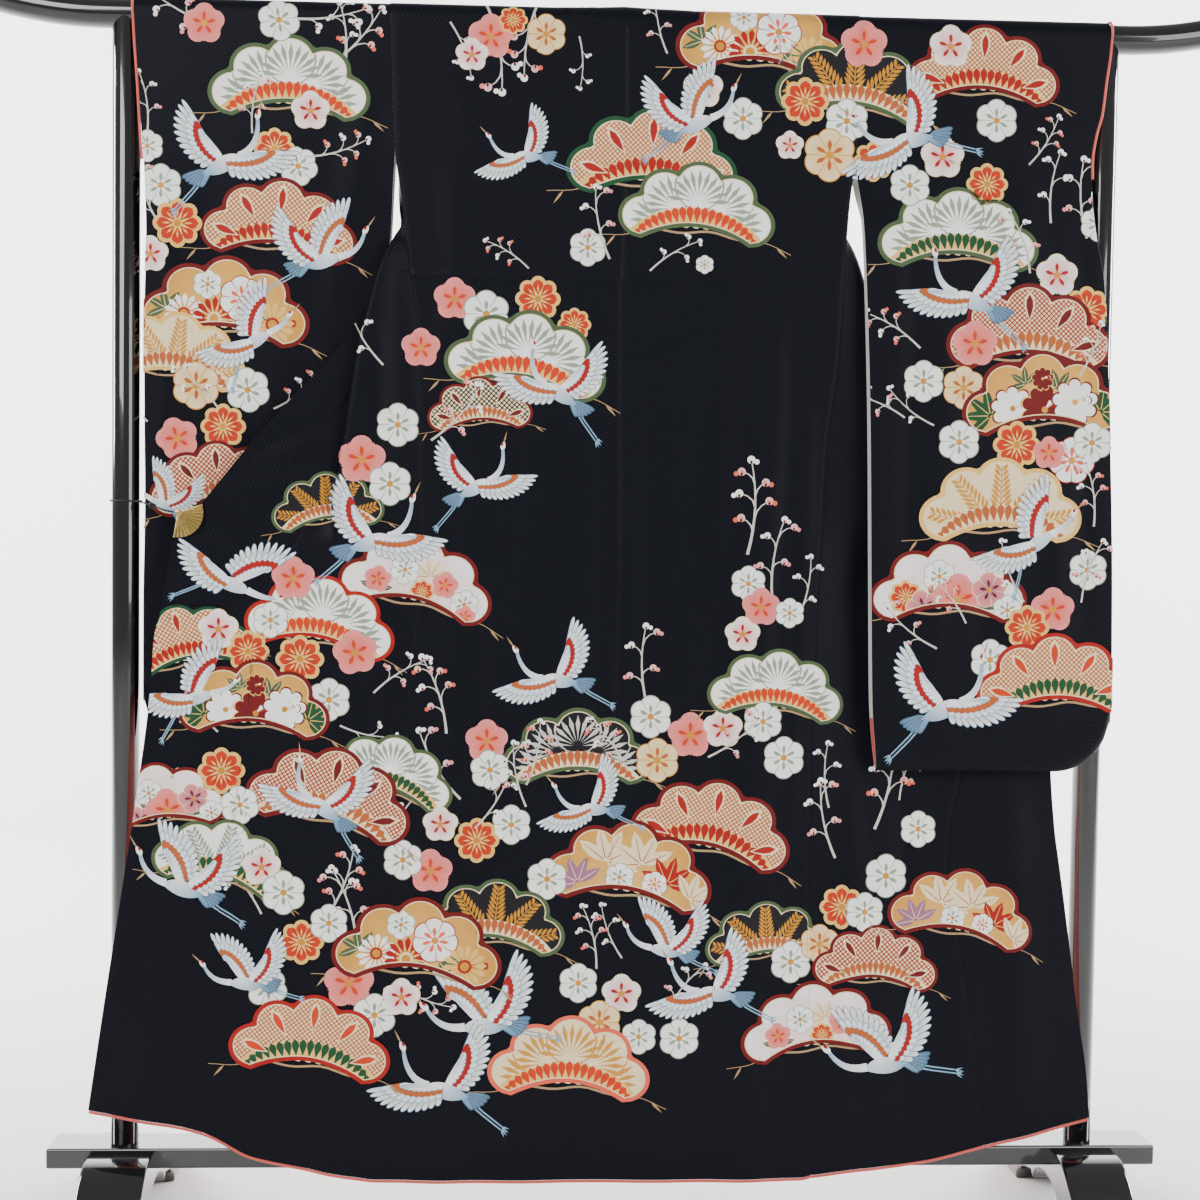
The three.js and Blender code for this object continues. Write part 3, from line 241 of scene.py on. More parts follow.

# Creases laid on the spread cloth: a soft ridge (depth above 0) or trough from one end
# to the other.
CREASES = columns("x0 z0 x1 z1 width depth", [
    (-586, 962, -470, 850, 12, 3.2),
    (-590, 944, -520, 800, 9, -2.4),
    (-596, 935, -560, 700, 8, 2.6),
    (-572, 985, -430, 920, 9, -2.2),
    (-545, 1010, -402, 1040, 10, 2.2),
    (-505, 1060, -392, 1120, 9, -2),
    (-600, 905, -590, 640, 7, -2),
    (-470, 820, -452, 560, 14, 2.4),
    (-330, 1250, -322, 1010, 9, 2.6),
    (-306, 1300, -298, 1120, 6, -1.8),
    (-352, 960, -372, 700, 13, 2.6),
    (-318, 900, -330, 420, 11, -2),
    (-420, 640, -446, 200, 16, 2.6),
    (-500, 700, -530, 260, 12, -2.2),
    (-640, 620, -680, 300, 10, 2),
    (-236, 1480, -228, 1180, 16, 1.8),
    (-140, 1250, -160, 700, 14, -1.6),
    (-40, 1120, -52, 420, 12, 1.6),
    (44, 1180, 36, 520, 12, -1.6),
    (150, 1420, 142, 900, 18, 1.6),
    (238, 1290, 224, 760, 10, -2.2),
    (262, 1160, 250, 520, 9, 2.4),
    (330, 640, 336, 180, 16, 2.6),
    (400, 620, 420, 160, 12, -2.2),
    (560, 620, 590, 220, 14, 2.4),
    (640, 520, 662, 220, 9, -1.6),
    (-250, 1600, -190, 1480, 14, 1.4),
    (270, 1600, 200, 1470, 14, 1.4),
])

# The same on each layer of the sleeves: near is the one towards the viewer.
SLEEVE_CREASES = {
    "left": columns("x0 z0 x1 z1 width near far", [
        (-352, 1590, -392, 1240, 14, 2.2, 1.4),
        (-446, 1560, -470, 1060, 22, 1.8, 2.6),
        (-560, 1500, -566, 980, 18, -1.8, 1.6),
        (-618, 1460, -622, 900, 10, 2.4, -1.8),
        (-400, 1200, -410, 720, 16, 1.6, 2.8),
        (-520, 1180, -536, 700, 14, 2.4, -2.2),
    ]),
    "right": columns("x0 z0 x1 z1 width near far", [
        (352, 1540, 396, 1180, 12, 2.4, -1.6),
        (384, 1400, 404, 900, 14, -2, 2.4),
        (440, 1300, 446, 760, 22, 2.2, 1.8),
        (548, 1500, 560, 1000, 18, 1.8, -2.2),
        (630, 1380, 648, 860, 10, -2, 2.4),
        (600, 1000, 612, 700, 14, 2.4, 1.8),
        (500, 900, 505, 690, 12, -1.6, -1.8),
    ]),
}


# ---- Settings ---------------------------------------------------------------------------

def colour(name, description, default):
    return FloatVectorProperty(
        name=name, description=description, default=default, subtype="COLOR", min=0, max=1
    )


class ClothSettings(bpy.types.PropertyGroup):
    """Colours and sizes of the cloth."""

    ground: colour("Ground", "Black silk of the ground", (0.0018, 0.0021, 0.0042))
    ground_sheen: colour("Woven figure", "The figured weave where it catches light", (0.0075, 0.0082, 0.0135))
    lining: colour("Upper lining", "White silk that lines the upper half", (0.72, 0.70, 0.66))
    hem_lining: colour("Hem lining", "Coral silk at the hem and the cuffs", (0.72, 0.115, 0.085))
    relief: FloatProperty(
        name="Creases", description="Strength of the creases laid by hand", default=1.0, min=0, max=2
    )
    pattern_lift: FloatProperty(
        name="Pattern lift", description="How far the dyed pattern lies off the silk",
        default=0.00022, min=0, unit="LENGTH",
    )
    pattern_step: FloatProperty(
        name="Pattern step", description="How far a drawing lies off the one that it covers",
        default=0.00011, min=0, unit="LENGTH",
    )
    key_size: FloatProperty(
        name="Woven key size", description="Width of one key of the figured weave",
        default=0.016, min=0.002, unit="LENGTH",
    )


class StandSettings(bpy.types.PropertyGroup):
    """Colours of the stand and the clip."""

    lacquer: colour("Lacquer", "Black lacquer of the stand", (0.0035, 0.0033, 0.0036))
    gold: colour("Gold", "Metal of the fan and the clip", (0.66, 0.50, 0.20))
    bevel: FloatProperty(
        name="Edge bevel", description="Rounding of the stand's edges",
        default=0.003, min=0, unit="LENGTH",
    )


class StageSettings(bpy.types.PropertyGroup):
    """Camera, floor and the sides of round bars."""

    eye: FloatVectorProperty(
        name="Camera", description="Place of the camera", default=(-0.1641, -2.7264, 1.0102),
        subtype="TRANSLATION", unit="LENGTH",
    )
    yaw: FloatProperty(
        name="Yaw", description="Turn of the camera to the right",
        default=math.radians(3.026), subtype="ANGLE", unit="ROTATION",
    )
    pitch: FloatProperty(
        name="Pitch", description="Tilt of the camera downwards",
        default=math.radians(2.873), subtype="ANGLE", unit="ROTATION",
    )
    roll: FloatProperty(
        name="Roll", description="Roll of the camera",
        default=math.radians(0.796), subtype="ANGLE", unit="ROTATION",
    )
    lens: FloatProperty(name="Lens", description="Focal length", default=58.98, unit="CAMERA")
    floor: colour("Floor", "Pale floor", (0.86, 0.86, 0.86))
    floor_size: FloatProperty(
        name="Floor size", description="Width of the floor", default=14.0, unit="LENGTH"
    )
    circle_sides: IntProperty(
        name="Circle sides", description="Sides of round bars", default=40, min=12, max=96
    )


# ---- Small helpers ----------------------------------------------------------------------

def new_object(name, vertices, faces, smooth=True):
    mesh = bpy.data.meshes.new(name)
    mesh.from_pydata([tuple(v) for v in vertices], [], [tuple(int(i) for i in f) for f in faces])
    if smooth:
        mesh.shade_smooth()
    mesh.update()
    piece = bpy.data.objects.new(name, mesh)
    bpy.context.scene.collection.objects.link(piece)
    return piece


def stands_for(piece, slot, *nodes):
    """The piece rides on the one body, and takes the place of these solids."""
    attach(piece, BODY)
    if nodes:
        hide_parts(*nodes)


def sharpen(piece, degrees):
    piece.data.set_sharp_from_angle(angle=math.radians(degrees))


def track(rows, by, key):
    """A smooth curve through a table's rows that never overshoots them."""
    order = np.argsort(rows[by])
    at = rows[by][order]
    value = rows[key][order]
    slope = np.diff(value) / np.diff(at)
    before = np.concatenate([slope[:1], slope])
    after = np.concatenate([slope, slope[-1:]])
    product = before * after
    total = np.where(product > 0, before + after, 1)
    tangent = np.where(product > 0, 2 * product / total, 0)

    def read(where):
        x = np.clip(np.asarray(where, float), at[0], at[-1])
        i = np.clip(np.searchsorted(at, x) - 1, 0, len(at) - 2)
        width = at[i + 1] - at[i]
        t = (x - at[i]) / width
        return (
            value[i] * (1 + 2 * t) * (1 - t) ** 2
            + tangent[i] * width * t * (1 - t) ** 2
            + value[i + 1] * t * t * (3 - 2 * t)
            + tangent[i + 1] * width * t * t * (t - 1)
        )

    return read


def spread(points, shares):
    """Points along the centripetal curve through points, an array for each, at shares of each stretch."""
    line = [2 * points[0] - points[1], *points, 2 * points[-1] - points[-2]]
    out = []
    for i, stretch in enumerate(shares):
        a, b, c, d = line[i : i + 4]
        step = [np.sqrt(np.linalg.norm(q - p, axis=-1, keepdims=True)) for p, q in ((a, b), (b, c), (c, d))]
        middle = np.where(step[1] < 1e-4, 1, step[1])
        first = np.where(step[0] < 1e-4, middle, step[0])
        last = np.where(step[2] < 1e-4, middle, step[2])
        leave = ((b - a) / first - (c - a) / (first + middle) + (c - b) / middle) * middle
        arrive = ((c - b) / middle - (d - b) / (middle + last) + (d - c) / last) * middle
        for t in stretch:
            out.append(
                b + leave * t + (3 * (c - b) - 2 * leave - arrive) * t**2
                + (2 * (b - c) + leave + arrive) * t**3
            )
    out.append(points[-1] + 0)
    return out


def swell(x, z):
    """How far the soft folds of the whole garment stand out."""
    total = np.zeros(np.broadcast(x, z).shape)
    for top, bottom, x_top, x_bottom, width, depth in zip(*SOFT_FOLDS.values()):
        down = (top - z) / (top - bottom)
        middle = x_top + (x_bottom - x_top) * np.minimum(down, 1)
        bulge = depth * np.minimum(1, down * 2.5) * np.exp(-(((x - middle) / width) ** 2))
        total = total + np.where(down > 0, bulge, 0)
    return total


def crease_relief(table, depth_name, x, z):
    """How far the creases of a table stand out at x, z, fading at each crease's ends."""
    total = np.zeros(np.broadcast(x, z).shape)
    rows = zip(table["x0"], table["z0"], table["x1"], table["z1"], table["width"], table[depth_name])
    for x0, z0, x1, z1, width, depth in rows:
        length = math.hypot(x1 - x0, z1 - z0)
        along = ((x - x0) * (x1 - x0) + (z - z0) * (z1 - z0)) / length**2
        across = ((x - x0) * (z1 - z0) - (z - z0) * (x1 - x0)) / length
        fade = np.clip(np.minimum(along + 0.12, 1.12 - along) / 0.34, 0, 1)
        fade = fade * fade * (3 - 2 * fade)
        bend = across + 0.35 * width * np.sin(along * 5.0)
        total = total + depth * fade * np.exp(-((bend / width) ** 2))
    return total * bpy.context.scene.furisode_cloth.relief


def hang(x, y, h, lift=0.0):
    """A point at an unrolled height h: straight below the rail's axis, round the rail above it."""
    angle = (SHOULDER - h) / DRAPE_RADIUS
    radius = DRAPE_RADIUS + lift
    side = np.sign(y)
    below = h <= RAIL_AXIS
    depth = np.where(below, y + side * lift, side * radius * np.sin(angle))
    height = np.where(below, h, RAIL_AXIS + radius * np.cos(angle))
    return np.stack(np.broadcast_arrays(x, depth, height), -1)


# ---- Rows and tracks of the body ----------------------------------------------------------

ARC_SHARES = np.linspace(1, 0.1, 10)
LEVEL_STOPS = [
    (RAIL_AXIS, 16), (ARMHOLE_END, 3), (OKUMI_TIP, 9), (SIDE_SEAM_TOP, 3), (WAIST_TUCK + 8, 5),
    (WAIST_TUCK - 3, 42), (COLLAR_END, 1), (COLLAR_END - 0.6, 23), (SPLIT, 0),
]
HEM_SHARES = np.linspace(0, 1, 46)[1:]


def level_heights():
    heights = []
    for (top, steps), (bottom, _) in zip(LEVEL_STOPS, LEVEL_STOPS[1:]):
        heights.extend(np.linspace(top, bottom, steps, endpoint=False))
    return np.array([*heights, SPLIT])


UPPER = np.concatenate([RAIL_AXIS + QUARTER * ARC_SHARES, level_heights()])
ARC_ROWS = len(ARC_SHARES)
TIP_ROW = int(np.argmin(abs(UPPER - OKUMI_TIP)))
END_ROW = int(np.argmin(abs(UPPER - COLLAR_END)))

hem_height = track(HEM, "x", "z")
back_track = {key: track(BACK, "h", key) for key in ("centre", "left", "right", "y")}
front_track = {key: track(FRONT, "h", key) for key in FRONT if key != "h"}
right_track = {key: track(RIGHT_FRONT, "h", key) for key in ("okumi", "edge", "slide", "back")}


def column_heights(bottom):
    return np.concatenate([UPPER, SPLIT + (bottom - SPLIT) * HEM_SHARES])


def side_column(side):
    def depth(h):
        return np.where(h <= SIDE_SEAM_TOP, back_track["y"](h), front_track["sideY"](h))

    return back_track[side], depth


def left_column(name):
    if name == "side":
        return side_column("left")
    return front_track[name], front_track[name + "Y"]


def right_column(name):
    if name == "side":
        return side_column("right")

    def depth(h):
        return front_track[name + "Y"](h) + right_track["back"](h)

    def across(h):
        left = front_track[name](h)
        if name in ("okumi", "edge"):
            return right_track[name](h)
        if name == "collar":
            upper = right_track["okumi"](h) + front_track["okumi"](h) - left
            lower = right_track["edge"](h) + front_track["edge"](h) - left
            return np.where(h >= OKUMI_TIP, upper, lower)
        return right_track["slide"](h) - left

    return across, depth


def body_relief(x, z):
    """Everything that stands out of the body's tables, the sewn waist tuck included."""
    tuck = 1.2 * np.exp(-(((z - WAIST_TUCK) / 3.5) ** 2)) * (np.abs(x) < 300)
    return swell(x, z) + crease_relief(CREASES, "depth", x, z) + tuck


# ---- Sheets -----------------------------------------------------------------------------

def edge_shares(steps):
    """Even shares of a stretch with two close to its start, where a seam's groove lies."""
    even = list(np.linspace(0, 1, steps, endpoint=False))
    return [even[0], 0.25 * even[1], *even[1:]]


def back_grid(side):
    """Points of a back panel, rows down and columns out from the centre seam."""
    centre, edge, depth = back_track["centre"], back_track[side], back_track["y"]
    width = abs(float(edge(SHOULDER) - centre(SHOULDER)))
    last = len(NECK["seam"]) - 1
    index = np.concatenate([[0, 0.04], np.linspace(0.16, 6.84, 42), [6.96, 7]])
    neck = columns("i seam over lift", [
        (i, NECK["seam"][i], -NECK["seamOver"][i], NECK["lift"][i]) for i in range(last + 1)
    ])
    runs = [(NECK["seam"][0] - NECK["seam"][last]) / width, 0.5, 0.75, 1]
    grid = []
    for i in index:
        on_neck = i <= last
        run = (NECK["seam"][0] - track(neck, "i", "seam")(i)) / width if on_neck else np.interp(
            i, [last, last + 1, last + 2, last + 3], runs
        )
        over = float(track(neck, "i", "over")(i)) if on_neck else 0.0
        lift = float(track(neck, "i", "lift")(i))
        heights = column_heights(float(hem_height(
            centre(70) + (edge(70) - centre(70)) * i / 7
        )))
        start = SHOULDER - over
        settled = min(RAIL_AXIS, start - 4)
        heights[: ARC_ROWS + 1] = np.linspace(start, settled, ARC_ROWS + 1)
        lower = np.clip((RAIL_AXIS - heights) / (RAIL_AXIS - ARMHOLE_END), 0, 1)
        share = run + (i / 7 - run) * lower
        x = centre(heights) + (edge(heights) - centre(heights)) * share
        raised = lift * np.clip((heights - ARMHOLE_END) / (start - ARMHOLE_END), 0, None)
        grid.append(hang(x, depth(heights) - body_relief(x, heights), heights, raised))
    return np.stack(grid, 1)


FRONT_SHARES = [
    edge_shares(12), list(np.linspace(0, 1, 6, endpoint=False)), list(np.linspace(0, 1, 12, endpoint=False)),
    list(np.linspace(0, 1, 6, endpoint=False)), list(np.linspace(0, 1, 12, endpoint=False)),
]
OKUMI_SHARES = edge_shares(14)
COLLAR_SHARES = edge_shares(9)


def front_grids(column):
    """Points of the front panel, the overlap panel and the collar's lower part."""
    control = {}
    for name in FRONT_NAMES:
        x, y = column(name)
        heights = column_heights(float(hem_height(x(150.0))))
        rows = np.arange(len(heights))
        drop = front_track["drop"](heights) * (rows < TIP_ROW) if name == "edge" else 0
        control[name] = np.stack([x(heights), y(heights), heights - drop], -1)
    lift = NECK["lift"][-1]

    def hung(names, shares):
        line = np.stack(spread([control[name] for name in names], shares), 1)
        x, y, h = line[..., 0], line[..., 1], line[..., 2]
        raised = lift * np.clip((h - RAIL_AXIS) / QUARTER, 0, None)
        return hang(x, y - body_relief(x, h), h, raised)

    panel = FRONT_NAMES[:6]
    upper = hung(panel, FRONT_SHARES)
    full = hung(FRONT_NAMES, [*FRONT_SHARES, OKUMI_SHARES, COLLAR_SHARES])
    plain = hung([*panel, "edge"], [*FRONT_SHARES, OKUMI_SHARES])
    strip = hung(["okumi", "edge"], [COLLAR_SHARES])
    rows = np.arange(len(upper))[:, None, None]
    inner = sum(len(s) for s in FRONT_SHARES)
    outer = inner + len(OKUMI_SHARES)
    front = np.where(rows < TIP_ROW, upper, np.where(
        rows <= END_ROW, full[:, : inner + 1], plain[:, : inner + 1]
    ))
    okumi = np.where(rows <= END_ROW, full[:, inner : outer + 1], plain[:, inner:])[TIP_ROW:]
    collar = np.concatenate([strip[1:TIP_ROW], full[TIP_ROW : END_ROW + 1, outer:]])
    return front, okumi, collar


def neck_grid(sign):
    """The collar's rows round the back of the neck, from the centre to the shoulder line."""
    count = len(NECK["seam"])
    table = dict(NECK, i=np.arange(count, dtype=float))
    at = {key: track(table, "i", key) for key in NECK}
    rows = []
    for i in np.linspace(0, count - 1, 21):
        t = np.array([*COLLAR_SHARES, 1.0])
        x = at["seam"](i) + (at["edge"](i) - at["seam"](i)) * t
        over = at["seamOver"](i) + (at["edgeOver"](i) - at["seamOver"](i)) * t
        x = x if sign < 0 else 2 * NECK["seam"][0] - x
        side = np.where(over < 0, -DRAPE_RADIUS, DRAPE_RADIUS)
        rows.append(hang(x, side, SHOULDER - np.abs(over), float(at["lift"](i))))
    return np.stack(rows)


def grid_faces(rows, count, turned=False):
    index = np.arange(rows * count).reshape(rows, count)
    quads = np.stack([index[:-1, :-1], index[:-1, 1:], index[1:, 1:], index[1:, :-1]], -1).reshape(-1, 4)
    return quads[:, ::-1] if turned else quads


def point_normals(points, faces):
    corners = points[faces]
    across = np.cross(corners[:, 2] - corners[:, 0], corners[:, 3] - corners[:, 1])
    normals = np.zeros_like(points)
    for k in range(4):
        np.add.at(normals, faces[:, k], across)
    return normals / np.maximum(np.linalg.norm(normals, axis=1, keepdims=True), 1e-9)


def shell(name, points, faces, uv, materials, thickness=SHELL):
    """A closed wall round a surface of quads: silk outside, lining inside, and a rim between."""
    silk, lining, hem_lining, rim = materials
    normals = point_normals(points, faces)
    count = len(points)
    vertices = np.concatenate([points + normals * thickness / 2, points - normals * thickness / 2]) * MM
    pairs = {}
    for face in faces.tolist():
        for a, b in zip(face, face[1:] + face[:1]):
            if (b, a) in pairs:
                del pairs[(b, a)]
            else:
                pairs[(a, b)] = True
    rims = [(b, a, a + count, b + count) for a, b in pairs]
    inside = faces[:, ::-1] + count
    everything = np.concatenate([faces, inside, np.array(rims)])
    piece = new_object(name, vertices, everything)
    mesh = piece.data
    for material in (silk, lining, hem_lining, rim):
        mesh.materials.append(material)
    low = points[faces][:, :, 2].mean(1) < LINING_CHANGES
    slots = np.concatenate([np.zeros(len(faces)), np.where(low, 2, 1), np.full(len(rims), 3)])
    mesh.polygons.foreach_set("material_index", slots.astype(np.int32))
    layer = mesh.uv_layers.new(name="cut")
    corners = np.concatenate([uv, uv])[everything] * MM
    run = corners[..., 1]
    closing = (np.ptp(run, axis=1) > 0.5)[:, None] & (run > -0.001)
    corners[..., 1] = np.where(closing, run.min(1, keepdims=True), run)
    layer.data.foreach_set("uv", corners.ravel())
    sharpen(piece, 50)
    return piece


def unrolled(grid):
    """Distances over the cloth, across and down, as the weave runs."""
    across = np.linalg.norm(np.diff(grid, axis=1), axis=2)
    down = np.linalg.norm(np.diff(grid, axis=0), axis=2).mean(1)
    u = np.concatenate([np.zeros((len(grid), 1)), np.cumsum(across, 1)], 1)
    v = -np.concatenate([[0], np.cumsum(down)])[:, None] + 0 * u
    return np.stack([u, v], -1).reshape(-1, 2)


def groove(grid, faces, column_list):
    """Sinks a seam's edge a little into the cloth."""
    rows, count = grid.shape[:2]
    points = grid.reshape(-1, 3)
    normals = point_normals(points, faces).reshape(rows, count, 3)
    sunk = grid.copy()
    for column in column_list:
        sunk[:, column] -= normals[:, column] * SEAM_GROOVE
    return sunk


def sheet_shell(name, grid, side, materials, seams):
    faces = grid_faces(*grid.shape[:2], turned=side == "right")
    sunk = groove(grid, faces, seams)
    return shell(name, sunk.reshape(-1, 3), faces, unrolled(grid), materials)


# ---- Sleeves ----------------------------------------------------------------------------

SLEEVE_LEVELS = np.concatenate([
    np.linspace(RAIL_AXIS, ARMHOLE_END, 16, endpoint=False),
    np.linspace(ARMHOLE_END, CUFF_END, 3, endpoint=False),
    np.linspace(CUFF_END, 1400, 5, endpoint=False),
    np.linspace(1400, 883, 46, endpoint=False),
    [883],
])
SLEEVE_LOWER = np.linspace(0, 1, 22)[1:]
SLEEVE_SHARES = np.concatenate([
    [0, 0.015, 0.04], np.linspace(0.075, 0.82, 24), [0.85, 0.875, 0.9, 0.92, 0.94, 0.96, 0.98, 1]
])
CUFF_ROW = ARC_ROWS + int(np.argmin(abs(SLEEVE_LEVELS - CUFF_END)))


def sleeve_rings(side):
    """The sleeve's two layers as rings: over the rail, down the near layer and up the far one."""
    table = SLEEVES[side]
    sign = -1 if side == "left" else 1
    bottom = SLEEVE_BOTTOM[side]
    read = {key: track(table, "h", key) for key in ("inner", "outer", "near", "far")}
    armhole = back_track[side]
    width = abs(float(read["outer"](bottom) - read["inner"](bottom)))
    half = ARC_ROWS + len(SLEEVE_LEVELS) + len(SLEEVE_LOWER)
    near_side = np.arange(2 * half) <= half
    down = np.where(near_side, np.arange(2 * half), 2 * half - np.arange(2 * half))
    rings = []
    for share in SLEEVE_SHARES:
        run = max(0.0, SLEEVE_CORNER - (1 - share) * width)
        low = bottom + SLEEVE_CORNER - math.sqrt(SLEEVE_CORNER**2 - 0.98 * run * run)
        levels = np.concatenate([
            RAIL_AXIS + QUARTER * ARC_SHARES, SLEEVE_LEVELS, 883 + (low - 883) * SLEEVE_LOWER, [low - 4]
        ])
        h = levels[down]
        at = np.maximum(h, bottom)
        pull = np.clip((at - FREE_FROM) / (ARMHOLE_END - FREE_FROM), 0, 1) * max(0.0, 1 - share * 4)
        own = np.where(near_side, read["near"](at), read["far"](at))
        high = np.maximum(at, ARMHOLE_END)
        body = np.where(near_side, back_track["y"](at), front_track["sideY"](high))
        layer = own + (body - own) * pull
        middle = (read["near"](at) + read["far"](at)) / 2
        close = np.where(down == half, 0, np.clip((h - low + 8) / 34, 0, 1)) ** 0.6
        y = np.where(h > RAIL_AXIS, layer, middle + (layer - middle) * close)
        start = np.where(at >= ARMHOLE_END, armhole(at), read["inner"](at))
        x = start + (read["outer"](at) - start) * share
        free = np.clip((1610 - h) / 60, 0, 1) * close
        near_relief = crease_relief(SLEEVE_CREASES[side], "near", x, h)
        far_relief = crease_relief(SLEEVE_CREASES[side], "far", x, h)
        y = y + free * np.where(near_side, -near_relief, far_relief)
        y[0] = 1.0
        rings.append(hang(x, y, h))
    return np.stack(rings), half, sign


def sleeve_surface(side):
    """Points and quads of a sleeve with its outer edge closed below the hand opening."""
    rings, half, sign = sleeve_rings(side)
    shares, size = rings.shape[:2]
    index = np.arange(shares * size).reshape(shares, size)
    after = np.roll(index, -1, 1)
    quads = np.stack([index[:-1], after[:-1], after[1:], index[1:]], -1).reshape(-1, 4)
    last = rings[-1]
    edge = index[-1]
    seam_rows = np.arange(CUFF_ROW, half)
    outside = (last[seam_rows] + last[size - seam_rows]) / 2 + [sign * 3.2, 0, 0]
    middle = {int(k): shares * size + i for i, k in enumerate(seam_rows)}
    middle[half] = int(edge[half])
    closing = []
    for k in seam_rows.tolist():
        far, far_next = int(edge[size - k]), int(edge[size - k - 1])
        if k + 1 < half:
            closing.append([edge[k], edge[k + 1], middle[k + 1], middle[k]])
            closing.append([middle[k], middle[k + 1], far_next, far])
    points = np.concatenate([rings.reshape(-1, 3), outside])
    quads = np.concatenate([quads, np.array(closing, int)])
    lengths = np.linalg.norm(np.diff(rings[10], axis=0), axis=1)
    run = np.concatenate([[0], np.cumsum(lengths)])
    v = np.broadcast_to(-run, (shares, size)).reshape(-1)
    u = rings[..., 0].reshape(-1)
    uv = np.concatenate([np.stack([u, v], -1), outside[:, [0, 2]]])
    if sign < 0:
        quads = quads[:, ::-1]
    return points, quads, uv, rings, half


# ---- Bars and solids of revolution --------------------------------------------------------

def frames_along(points):
    """Two directions square to a line at each of its points, without twist."""
    way = np.gradient(points, axis=0)
    way /= np.linalg.norm(way, axis=1, keepdims=True)
    first = np.array([0.0, 0.0, 1.0]) if abs(way[0][2]) < 0.9 else np.array([0.0, 1.0, 0.0])
    side = np.zeros_like(points)
    for i, w in enumerate(way):
        first = first - w * np.dot(first, w)
        first = first / np.linalg.norm(first)
        side[i] = first
    return side, np.cross(way, side)


def tube(name, points, radius, sides=16):
    """A round bar of metres along points in millimetres, with domed ends."""
    points = np.asarray(points, float)
    side, other = frames_along(points)
    radii = np.broadcast_to(radius, len(points)).astype(float)
    lead = points[0] - points[1]
    tail = points[-1] - points[-2]
    lead /= np.linalg.norm(lead)
    tail /= np.linalg.norm(tail)
    rows = []
    for share in (1.0, 0.92, 0.7, 0.4):
        rows.append((points[0] + lead * radii[0] * 0.3 * share, side[0], other[0],
                     radii[0] * math.sqrt(1 - share * share * 0.98)))
    rows.extend(zip(points, side, other, radii))
    for share in (0.4, 0.7, 0.92, 1.0):
        rows.append((points[-1] + tail * radii[-1] * 0.3 * share, side[-1], other[-1],
                     radii[-1] * math.sqrt(1 - share * share * 0.98)))
    turn = np.linspace(0, 2 * np.pi, sides, endpoint=False)[:, None]
    rings = [p + (np.cos(turn) * a + np.sin(turn) * b) * r for p, a, b, r in rows]
    vertices = np.concatenate(rings) * MM
    index = np.arange(len(vertices)).reshape(len(rings), sides)
    after = np.roll(index, -1, 1)
    quads = np.stack([index[:-1], index[1:], after[1:], after[:-1]], -1).reshape(-1, 4).tolist()
    faces = [*quads, index[0].tolist(), index[-1][::-1].tolist()]
    return new_object(name, vertices, faces)


def prism(name, outline, width, bevel):
    """An outline in the YZ plane, extruded along X about x = 0, with rounded edges."""
    count = len(outline)
    vertices = [(side * width / 2 * MM, y * MM, z * MM) for side in (-1, 1) for y, z in outline]
    faces = [list(range(count))[::-1], list(range(count, 2 * count))]
    faces.extend([i, (i + 1) % count, count + (i + 1) % count, count + i] for i in range(count))
    piece = new_object(name, vertices, faces)
    rounding = piece.modifiers.new("rounding", "BEVEL")
    rounding.width = bevel
    rounding.segments = 3
    rounding.limit_method = "ANGLE"
    rounding.angle_limit = math.radians(40)
    sharpen(piece, 40)
    return piece


def curve_points(start, *parts, steps=14):
    """Points along a path of lines and Bezier parts; each part lists its handles and its end."""
    out = [start]
    for part in parts:
        line = [np.array(out[-1], float), *[np.array(p, float) for p in part]]
        count = 1 if len(line) == 2 else steps
        for k in range(1, count + 1):
            t = k / count
            level = line
            while len(level) > 1:
                level = [a + (b - a) * t for a, b in zip(level, level[1:])]
            out.append(tuple(level[0]))
    return out


# ---- Materials --------------------------------------------------------------------------

